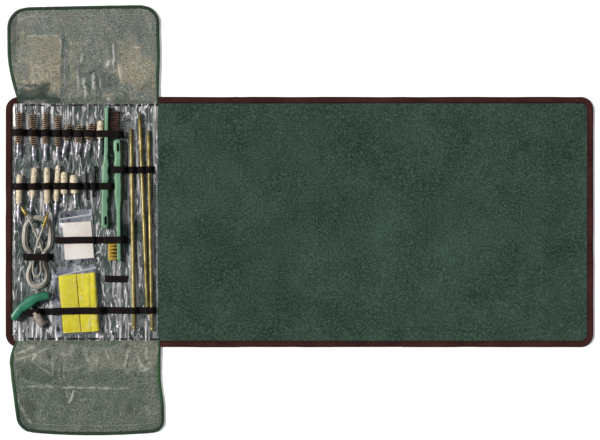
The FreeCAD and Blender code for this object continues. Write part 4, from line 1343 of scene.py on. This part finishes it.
def make_tips():
    spear = SPINDLES["spear_tip"]
    shaft = spear.half - 0.1
    stations = [(1.0, 0.0)] + thread(0.3, 7.6, 1.4, 0.25, 0.8)
    stations += [(1.5, 7.9), (shaft, 8.2), (shaft, 11.6), (1.4, 12.4)]
    for ring in range(3):
        low = 13 + ring * 1.7
        stations += [(1.4, low), (1.75, low + 0.4), (1.75, low + 0.9), (1.4, low + 1.3)]
    stations += [(shaft, 18.2), (shaft, spear.length - 13), (1.6, spear.length - 9),
                 (1.25, spear.length - 4.5), (0.7, spear.length - 1.2), (0.25, spear.length)]
    spear.make("spear_tip_turned", lathe(stations, 20), "black", "black_tip", ["spear_tip"])
    frame["nodes"]["slotted_tip"].data.materials.clear()
    frame["nodes"]["slotted_tip"].data.materials.append(MATERIALS["black"])


def make_rod(name):
    """A rod section with a screw thread on its upper end, a mouth at its lower end and fine turned rings."""
    rod = SPINDLES[name]
    half, length = rod.half - 0.02, rod.length
    stations = [(1.2, 0.6), (1.95, 0.0), (half - 0.3, 0.0), (half, 0.3), (half, 4.0), (half - 0.12, 4.2),
                (half - 0.12, 4.8), (half, 5.0)]
    stations += [(half, spot) for spot in np.linspace(30, length - 30, 9)]
    stations += [(half, length - 11.6), (half - 0.12, length - 11.4), (half - 0.12, length - 10.8),
                 (half, length - 10.6), (half, length - 8.6), (half - 0.4, length - 8.2), (1.6, length - 8.1)]
    stations += thread(length - 7.8, length - 0.6, 1.9, 0.3, 0.8) + [(1.3, length)]
    rod.make(f"{name}_turned", lathe(stations, 22), "rod", "brass_rod", [name])


# ---------------------------------------------------------------- elastic straps

STRAP_WIDTH = 9.5
STRAP_THICKNESS = 0.8
STRAP_BASE = FELT_TOP + 0.95
HANDLE_HEIGHT, HANDLE_CORNER = 11.4, 2.6

# What each strap's loops hold. A name is a slim tool. Otherwise: left, right, height held and corner radius.
HELD = {
    "strap_brushes": BRUSH_NAMES + ["mop_7", (-273.6, -250.0, HANDLE_HEIGHT, HANDLE_CORNER)],
    "strap_mops": MOP_NAMES[:6] + ["spear_tip", "slotted_tip",
                                   (-277.2, -262.4, HANDLE_HEIGHT, HANDLE_CORNER)],
    "strap_rods": [(-259.3, -244.9, HANDLE_HEIGHT, HANDLE_CORNER), *ROD_NAMES],
    "strap_cable": [(-380.6, -350.4, 8.2, 3.2)],
    "strap_patches": [(-337.0, -287.0, 2.9, 1.2), (-271.0, -247.0, HANDLE_HEIGHT, HANDLE_CORNER)],
    "strap_spare": [],
    "strap_bottom": [(-378.9, -363.4, 9.9, 3.6), (-345.0, -276.4, 9.7, 4.0), *ROD_NAMES],
}
# How far each strap's right end is above or below its left end, and how far it wavers between.
SLANT = {"strap_brushes": -2.5, "strap_bottom": 3.2, "strap_mops": 0.4, "strap_patches": 0.8}


def strap_line(name):
    """The strap's level at an x, from its CAD box."""
    low, high = box(name)
    left, right = low[0], high[0]
    slant = SLANT.get(name, 0.0)
    if name == "strap_brushes":
        start = high[1] - STRAP_WIDTH / 2
    elif name == "strap_bottom":
        start = low[1] + STRAP_WIDTH / 2 - slant
    else:
        start = (low[1] + high[1]) / 2
    span = 60.0 if name == "strap_bottom" else right - left
    return left, right, lambda x: start + slant * np.clip((x - left) / span, 0, 1)


def make_strap(name):
    """A ribbon that is sewn to the cover between its loops and follows what each loop holds."""
    left, right, level = strap_line(name)
    x = np.arange(left, right + 0.01, 0.3)
    z = np.full(len(x), STRAP_BASE)
    for item in HELD[name]:
        if isinstance(item, str):
            tool = SPINDLES[item]
            guess = tool.at(level(tool.origin[0]))[0]
            middle, height, slope = tool.at(level(guess))
            radius = tool.half + 0.62
            half = radius + slope * STRAP_WIDTH * 0.42
            flat = max(0.0, half - radius)
            crown = height + radius - fall_off(np.maximum(np.abs(x - middle) - flat, 0), radius)
            inside = np.abs(x - middle) < half - 0.05
            shoulder, foot = height - 0.5, 1.5
        else:
            low, high, held, corner = item
            middle, half = (low + high) / 2, (high - low) / 2 + 0.5
            past = np.clip(np.abs(x - middle) - (half - corner), 0, corner)
            top = REST + held + 0.5
            crown = top - fall_off(past, corner)
            inside = np.abs(x - middle) < half
            shoulder, foot = top - corner, 2.0
        z = np.where(inside, np.maximum(z, crown), z)
        past = np.clip((np.abs(x - middle) - half) / foot, 0, 1)
        fall = STRAP_BASE + (shoulder - STRAP_BASE) * (1 - past) ** 1.7
        z = np.where(~inside & (past < 1), np.maximum(z, fall), z)
    z = z + 0.35 * noise(x / 9, 0, 111 + len(name)) * ramp(z - STRAP_BASE, 0.4, 3)
    z = np.convolve(np.pad(z, 2, "edge"), np.ones(5) / 5, "valid")
    points = np.stack([x, z], -1)
    run = distances(points)
    dense = np.linspace(0, run[-1], int(run[-1] / 0.62))
    points = sampled(points, run, dense)
    tangent = np.gradient(points, axis=0)
    tangent /= np.linalg.norm(tangent, axis=1, keepdims=True)
    normal = np.stack([-tangent[:, 1], tangent[:, 0]], -1)
    across = np.linspace(-1, 1, 9)
    waver = 0.5 * (noise(dense / 17, 0, 131 + len(name)) - 0.5)
    width = STRAP_WIDTH / 2 * (1 + 0.03 * (noise(dense / 5, 0, 133) - 0.5))
    edge = np.abs(across) ** 6
    shells = []
    for lift in (STRAP_THICKNESS, 0.0):
        offset = lift - (lift - STRAP_THICKNESS / 2) * 0.55 * edge[None, :] + 0 * dense[:, None]
        px = points[:, 0:1] + normal[:, 0:1] * offset
        pz = points[:, 1:2] + normal[:, 1:2] * offset
        py = level(points[:, 0:1]) + waver[:, None] + across[None, :] * width[:, None]
        shells.append((px, py, pz))
    verts, faces = shell(*(np.stack(side, -1) for side in shells), flip=True)
    piece(f"{name}_ribbon", verts, faces, "elastic", "tool_panel", "elastic", [name])


# ---------------------------------------------------------------- the two hand brushes

HANDLE_LENGTH = 170.0
# Half widths of the handle's grip and of its neck.
GRIP_HALF, NECK_HALF = 7.0, 3.7


def handle_sides(y):
    """The handle's left and right edges at a distance from its end with the slot."""
    half = GRIP_HALF + (NECK_HALF - GRIP_HALF) * ramp(y, 76, 104)
    rounding = GRIP_HALF - 5 + np.sqrt(np.maximum(25 - np.clip(5 - y, 0, 5) ** 2, 0))
    tip = np.sqrt(np.maximum(NECK_HALF ** 2 - np.clip(y - (HANDLE_LENGTH - NECK_HALF), 0, NECK_HALF) ** 2, 0))
    left = -np.minimum(np.minimum(half, rounding), np.where(y > HANDLE_LENGTH - NECK_HALF, tip, 99))
    scallop = np.where((y > 14) & (y < 94), 1.55 * np.abs(np.sin(math.pi * (y - 14) / 20)) ** 0.9, 0)
    scallop = scallop * ramp(94 - y, 0, 22)
    return left, -left - scallop


def make_hand_brush(name, start, stop, pitch, fibre, slot_name, shaded):
    """A moulded handle with finger grooves and a hang slot, and tufts set in rows along its side. The tufts
    run from start to stop, a pitch apart. shaded is the side that slopes away: 1 is the tufts' side, -1 the
    other."""
    points = node_points(f"{name}_handle")
    lean = math.radians(-0.7 if name == "nylon_brush" else 180.7)
    way = np.array([-math.sin(lean), math.cos(lean), 0.0])
    side = np.array([way[1], -way[0], 0.0])
    along, across = points @ way, points @ side
    middle = (across.min() + across.max()) / 2
    origin = way * along.min() + side * middle + UP * REST

    y = np.concatenate([[0.0, 0.25, 0.7, 1.4, 2.4, 3.6], np.arange(5, HANDLE_LENGTH - 4.2, 1.5),
                        HANDLE_LENGTH - NECK_HALF * np.array([1.0, 0.75, 0.5, 0.3, 0.14, 0.05, 0.0])])
    left, right = handle_sides(np.clip(y, 0.02, HANDLE_LENGTH - 0.02))
    turn = turns(40)
    power = np.where(np.cos(turn) * shaded > 0, 0.8, 0.36)
    wide, tall = blunted(np.cos(turn), power), blunted(np.sin(turn), 0.42)
    centre, half = (left + right) / 2, (right - left) / 2
    px = centre[:, None] + half[:, None] * wide[None, :]
    soft = 1 - 0.16 * (1 - np.minimum(1, np.abs(half) / NECK_HALF))
    pz = HANDLE_HEIGHT / 2 * (1 + tall[None, :] * soft[:, None] * 0.995)
    # The top is flat up to a share of its half width, and then slopes down. Finger notches vary that share.
    notches = max(shaded, 0) * 0.13 * np.sin(2 * math.pi * y / 21) * ramp(y, 18, 30) * ramp(-y, -122, -104)
    flat = (0.44 + notches)[:, None]
    slope = np.clip((wide * shaded - flat) / (1 - flat), 0, 1) ** 1.1 * 0.74
    pz = pz * (1 - slope - np.clip((-wide * shaded - 0.7) / 0.3, 0, 1) * 0.12)
    py = np.broadcast_to(y[:, None], px.shape)
    verts = np.stack([px, py, pz], -1).reshape(-1, 3)
    handle = piece(f"{name}_moulded", aimed(verts, origin, way), flipped(barrel(*px.shape)), "handle")
    cutter = slot_cutter(origin, way)
    carve(handle, cutter)
    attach(handle, name)
    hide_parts(f"{name}_handle")

    roots, tips = [], []
    for row in np.arange(start + pitch * 0.5, stop - pitch * 0.25, pitch):
        for layer in (2.6, 5.7, 8.8):
            count = 30
            spread = rng.normal(0, 1, (count, 2))
            base = np.stack([np.full(count, NECK_HALF - 1.5), row + 0.08 * pitch * spread[:, 0],
                             layer + 0.5 * spread[:, 1]], -1)
            reach = 12.2 - 0.9 * rng.random(count) ** 2
            bow = 0.5 * math.sin(row * 1.7 + layer)
            sideways = bow + 0.09 * pitch * (spread[:, 0] + rng.normal(0, 0.8, count))
            tip = base + np.stack([reach + 1.4, sideways, 0.6 * spread[:, 1]], -1)
            tip[:, 2] = np.clip(tip[:, 2], 1.3, 10.1)
            tip[:, 0] = np.minimum(tip[:, 0], NECK_HALF + 12.4)
            tip[:, 1] = np.clip(tip[:, 1], start, stop)
            roots.append(base)
            tips.append(tip)
    verts, faces = needles(np.concatenate(roots), np.concatenate(tips), 0.46)
    tufts = piece(f"{name}_tufts", aimed(verts, origin, way), faces, fibre, name, slot_name,
                  [f"{name}_bristles"])
    # Painted shade: the tufts darken towards their roots.
    paint(tufts, tip=np.tile([0.25, 0.25, 0.25, 1, 1, 1], len(verts) // 6))


def slot_cutter(origin, way):
    """A rounded bar that cuts the hang slot."""
    turn = turns(24)
    x, y = 1.8 * blunted(np.cos(turn), 0.5), 11 + 6.0 * blunted(np.sin(turn), 0.28)
    rings = [np.stack([x, y, np.full(24, z)], -1) for z in (-3.0, 15.0)]
    return piece("cutter", aimed(np.concatenate(rings), origin, way), barrel(2, 24), "handle")


def carve(thing, cutter):
    """Cut one mesh out of another, and drop the cutter."""
    cut = thing.modifiers.new("cut", "BOOLEAN")
    cut.operation = "DIFFERENCE"
    cut.object = cutter
    bpy.context.view_layer.update()
    graph = bpy.context.evaluated_depsgraph_get()
    carved = bpy.data.meshes.new_from_object(thing.evaluated_get(graph))
    thing.modifiers.clear()
    old = thing.data
    thing.data = carved
    carved.set_sharp_from_angle(angle=math.radians(50))
    bpy.data.meshes.remove(old)
    shape = cutter.data
    bpy.data.objects.remove(cutter)
    bpy.data.meshes.remove(shape)


# ---------------------------------------------------------------- the T-handle

TEE_TURN = math.radians(34)


def make_tee():
    """A curved grip, a short stem and a turning socket for the rods."""
    points = node_points("tee_grip")
    bar = np.array([math.cos(TEE_TURN), math.sin(TEE_TURN), 0.0])
    rise = np.array([-bar[1], bar[0], 0.0])
    along, across = points @ bar, points @ rise
    origin = bar * (along.min() + along.max()) / 2 + rise * (across.max() - 7.5) + UP * REST
    reach, tip = 31.0, 4.5
    x = np.concatenate([-reach + tip * (1 - np.cos(np.linspace(0, math.pi / 2, 9)))[:-1],
                        np.linspace(-reach + tip, reach - tip, 60),
                        reach - tip * (1 - np.cos(np.linspace(math.pi / 2, 0, 9)))[1:]])
    share = np.clip(np.abs(x) / (reach - tip), 0, 1)
    upper = 8.1 - 6.2 * share ** 2
    lower = -5.0 - 5.0 * share ** 2 - 1.3 * np.exp(-(x / 6.5) ** 2)
    lower = lower + 0.9 * np.exp(-((np.abs(x) - 13) / 4.5) ** 2)
    past = np.clip((np.abs(x) - (reach - tip)) / tip, 0, 1)
    shrink = np.sqrt(np.maximum(1 - past ** 2, 0.0004))
    centre, half = (upper + lower) / 2, (upper - lower) / 2 * shrink
    centre = centre - 0.6 * past
    turn = turns(36)
    wide, tall = blunted(np.cos(turn), 0.72), blunted(np.sin(turn), 0.6)
    local = np.stack([np.broadcast_to(x[:, None], (len(x), 36)), centre[:, None] + half[:, None] * wide,
                      6.3 + 6.25 * tall[None, :] * (0.55 + 0.45 * shrink[:, None] ** 0.7)], -1).reshape(-1, 3)
    piece("tee_grip_moulded", aimed(local, origin, rise), barrel(len(x), 36), "grip", "tee_handle",
          "emerald_grip", ["tee_grip"])

    centre = origin + UP * 6.3
    stem = [(2.6, 2.0), (3.1, 4.0), (3.5, 4.6), (3.5, 9.4), (3.0, 9.7), (3.0, 10.4), (3.5, 10.7), (3.5, 13.8),
            (3.2, 14.1), (2.0, 14.1), (2.0, 20.2), (0.6, 20.4)]
    verts, faces = lathe(stem, 24)
    piece("tee_stem_turned", aimed(verts, centre, -rise), faces, "stem", "tee_handle", "black_stem",
          ["tee_stem"])
    start, length = 14.4, 21.5
    far = start + length
    # From the bottom of the stem's bore, over the outside and down the rods' threaded bore.
    stations = [(0.3, start + 6.4), (2.05, start + 6.3), (2.05, start + 0.15), (5.0, start),
                (5.45, start + 0.5), (5.5, far - 0.8), (5.1, far), (2.7, far), (2.1, far - 0.6)]
    stations += thread(far - 11.6, far - 1.0, 2.1, -0.22, 0.9)[::-1] + [(1.9, far - 12.0), (0.3, far - 12.1)]
    verts, faces = lathe(stations, 32)
    piece("tee_socket_turned", aimed(verts, centre, -rise), faces, "socket", "tee_swivel",
          "socket_metal", ["tee_socket"])
    pin = [(0.9, -0.3), (0.9, 0.1), (0.6, 0.28), (0.2, 0.32)]
    verts, faces = lathe(pin, 16)
    spot = centre - rise * (start + 8.5) + UP * 5.5
    piece("tee_socket_pin", verts[:, [0, 2, 1]] + spot, flipped(faces),
          "stem", "tee_swivel", "socket_metal")


# ---------------------------------------------------------------- the two clear bags and what they hold

class Bag:
    """A clear press-seal bag, placed in its CAD node's box and turned by its lean."""

    def __init__(self, node, body, lean, width, length, height):
        self.node, self.body = node, body
        low, high = box(node)
        self.middle = (low + high) / 2
        self.low = low[2]
        self.lean = math.radians(lean)
        self.width, self.length, self.height = width, length, height

    def place(self, local):
        """Points from the bag's own plane to the mat."""
        local = np.asarray(local, float)
        c, s = math.cos(self.lean), math.sin(self.lean)
        x, y, z = np.moveaxis(local, -1, 0)
        return np.stack([self.middle[0] + c * x - s * y, self.middle[1] + s * x + c * y, self.low + z], -1)

    def film(self, filled, crown):
        """The film: flat at its rim, over its contents in the middle, crinkled everywhere."""
        columns, rows = int(self.width / 1.1), int(self.length / 1.3)
        x, y = np.meshgrid(np.linspace(-1, 1, columns) * self.width / 2,
                           np.linspace(-1, 1, rows) * self.length / 2)
        left, right, low, high = filled
        over = between(x, left, right, 4.5, 1) * between(y, low, high, 4.5, 1)
        wrinkle = ridges(x / 8 + 0.2 * y / 8, y / 10, 141 + rows, 3) ** 1.5
        pinch = ridges(x / 5, y / 16, 151 + rows, 2) ** 2
        edge = ramp(self.width / 2 - np.abs(x), 0, 2.5) * ramp(self.length / 2 - np.abs(y), 0, 2.5)
        crinkled = edge * (1 - 0.85 * over) * (0.85 * wrinkle + 0.5 * pinch)
        top = 0.5 + crown * over + crinkled + 0.14 * over * wrinkle
        top = np.minimum(top, self.height - 0.02)
        wobble = 0.35 * (noise(y / 9, 0, 161) - 0.5)
        verts, faces = slab(x + wobble, y, np.full(x.shape, 0.04), top)
        film = piece(f"{self.node}_film", self.place(verts), faces, "film", self.body, "bag_film",
                     [self.node])
        film.data.materials.append(MATERIALS["film_over"])
        clear = (over[:-1, :-1] > 0.6).ravel()
        index = np.zeros(len(faces), np.int32)
        index[:len(clear)] = clear
        film.data.polygons.foreach_set("material_index", index)
        return film

    def zip_line(self, left_y, right_y):
        """The two pale ridges of the press seal."""
        made = []
        for offset in (0.0, -1.5):
            x = np.linspace(-self.width / 2 + 0.4, self.width / 2 - 0.4, 40)
            y = left_y + (right_y - left_y) * (x + self.width / 2) / self.width + offset
            y = y + 0.5 * (noise(x / 14, 0, 171) - 0.5)
            z = 1.55 + 0.25 * noise(x / 7, 0, 173) + 0 * x
            made.append(tube(np.stack([x, y, z], -1), 0.6 if offset == 0 else 0.35, 6))
        verts, faces = merged(made)
        piece(f"{self.node}_seal", self.place(verts), faces, "seal", self.body, "bag_film")


def make_patches():
    bag = Bag("patches_bag", "patches_pack", 4.3, 47.0, 73.0, 2.8)
    width, length = 40.0, 51.0
    for number in range(3):
        x, y = np.meshgrid(np.linspace(-1, 1, 30) * width / 2, np.linspace(-1, 1, 38) * length / 2)
        swing = math.radians((0.5, -0.9, 0.4)[number])
        low = 0.5 + number * 0.5
        wave = 0.2 * noise(x / 15, y / 40, 181 + number) if number == 2 else 0
        dent = 0.12 * ridges(x / 11 + y / 60, y / 42, 185, 2) if number == 2 else 0
        px = x * math.cos(swing) - y * math.sin(swing) + 1.4 + (0.3, -0.3, 0)[number]
        py = x * math.sin(swing) + y * math.cos(swing) - 6 + (-0.5, 0.3, 0)[number]
        px = px + 0.25 * (noise(y / 7, 0, 187 + number) - 0.5) * np.abs(x) / width * 2
        verts, faces = slab(px, py, low + wave + dent, low + 0.4 + wave + dent)
        sheet = piece(f"patch_{number + 1}", bag.place(verts), faces, "patches", "patches_pack",
                      "white_cotton", ["patches"] if number == 0 else [])
    bag.film((-18.6, 21.4, -31.5, 19.5), 1.75)
    bag.zip_line(26.0, 29.5)


def fold_profile(width, top):
    """The folded cloth's line across: two flaps that meet over two inner layers."""
    half, inner = width / 2, width / 2 - 3
    line = [(-0.7, top - 0.2), (-4, top), (-half + 2, top), (-half + 0.3, top * 0.78), (-half, top * 0.5),
            (-half + 0.3, 0.9), (-half + 2.4, 0.5), (half - 2.4, 0.5), (half - 0.3, 0.9), (half, top * 0.5),
            (half - 0.3, top * 0.78), (half - 2, top), (4, top), (0.9, top - 0.2), (0.5, top - 1.2),
            (3, top - 1.9), (inner - 1.5, top - 2.0), (inner, top - 2.9), (inner - 1.5, top * 0.5 - 0.9),
            (-inner + 1, top * 0.5 - 0.9)]
    line = np.array(line, float)
    for _ in range(2):
        cut = np.stack([line[:-1] * 0.75 + line[1:] * 0.25, line[:-1] * 0.25 + line[1:] * 0.75], 1)
        line = np.concatenate([line[:1], cut.reshape(-1, 2), line[-1:]])
    run = distances(line)
    return sampled(line, run, np.linspace(0, run[-1], int(run[-1] / 1.15))), run[-1]


def make_cloth():
    bag = Bag("cloth_bag", "cloth_pack", 4.5, 64.0, 97.0, 9.6)
    width, length, top = 51.0, 81.0, 6.9
    line, flat = fold_profile(width, top)
    rows = 58
    y = np.linspace(-length / 2, length / 2, rows)[:, None] + 0 * line[None, :, 0]
    x = line[None, :, 0] + 0 * y
    z = line[None, :, 1] + 0 * y
    upper = ramp(z, top * 0.72, top * 0.95)
    ripples = ridges(x / 10 + 0.5 * y / 26, y / 8, 191, 3) ** 1.5 * ramp(x, -4, 8)
    ripples = ripples + 0.5 * layered(x / 12, y / 18, 195, 3)
    pleat = np.exp(-((x - 17 - 0.05 * y) / 1.6) ** 2)
    squeeze = 1 - 0.10 * np.exp(-((y + 10.5) / 6.5) ** 2)
    fine = ridges(x / 5 + y / 30, y / 4.2, 199, 2) ** 1.4
    z = z * squeeze + upper * (1.15 * ripples + 0.4 * fine - 0.9 * pleat + 0.35 * np.sin(y / 13 + x / 30))
    z = z - 0.9 * upper * ramp(np.abs(y), length / 2 - 7, length / 2)
    x = x * (1 + 0.015 * np.sin(y / 17)) + 0.5 * (noise(y / 9, 0, 197) - 0.5)
    tilt = (1.6 * (x / width) * ramp(y, 10, length / 2) -
            0.8 * np.sin(x / 9) * ramp(np.abs(y), 20, length / 2) * 0.5)
    y = y + tilt
    tx, tz = np.gradient(line[:, 0]), np.gradient(line[:, 1])
    size = np.hypot(tx, tz)
    nx, nz = -tz / size * 0.32, tx / size * 0.32
    outer = np.stack([x + nx, y, z + nz], -1)
    inner = np.stack([x - nx, y, z - nz], -1)
    outer[..., 2] = np.clip(outer[..., 2], 0.12, 8.6)
    inner[..., 2] = np.clip(inner[..., 2], 0.12, 8.6)
    verts, faces = shell(outer, inner)
    verts = verts + np.array([4.0, -4.0, 0.35])
    cloth = piece("cloth_folded", bag.place(verts), faces, "yellow", "cloth_pack", "yellow_cloth",
                  ["cloth"])
    bag.film((-21.5, 29.5, -44.5, 36.5), 8.2)
    bag.zip_line(34.5, 44.5)


make_mat()
make_vinyl()
make_flap("top")
make_flap("bottom")
for name in BRUSH_NAMES:
    make_brush(name)
for name in MOP_NAMES:
    make_mop(name)
make_tips()
for name in ROD_NAMES:
    make_rod(name)
for name in HELD:
    make_strap(name)
make_hand_brush("nylon_brush", 128, 164, 3.6, "nylon", "nylon_bristle", 1)
make_hand_brush("brass_brush", 139, 169, 4.9, "golden", "brass_bristle", -1)
make_tee()
make_patches()
make_cloth()
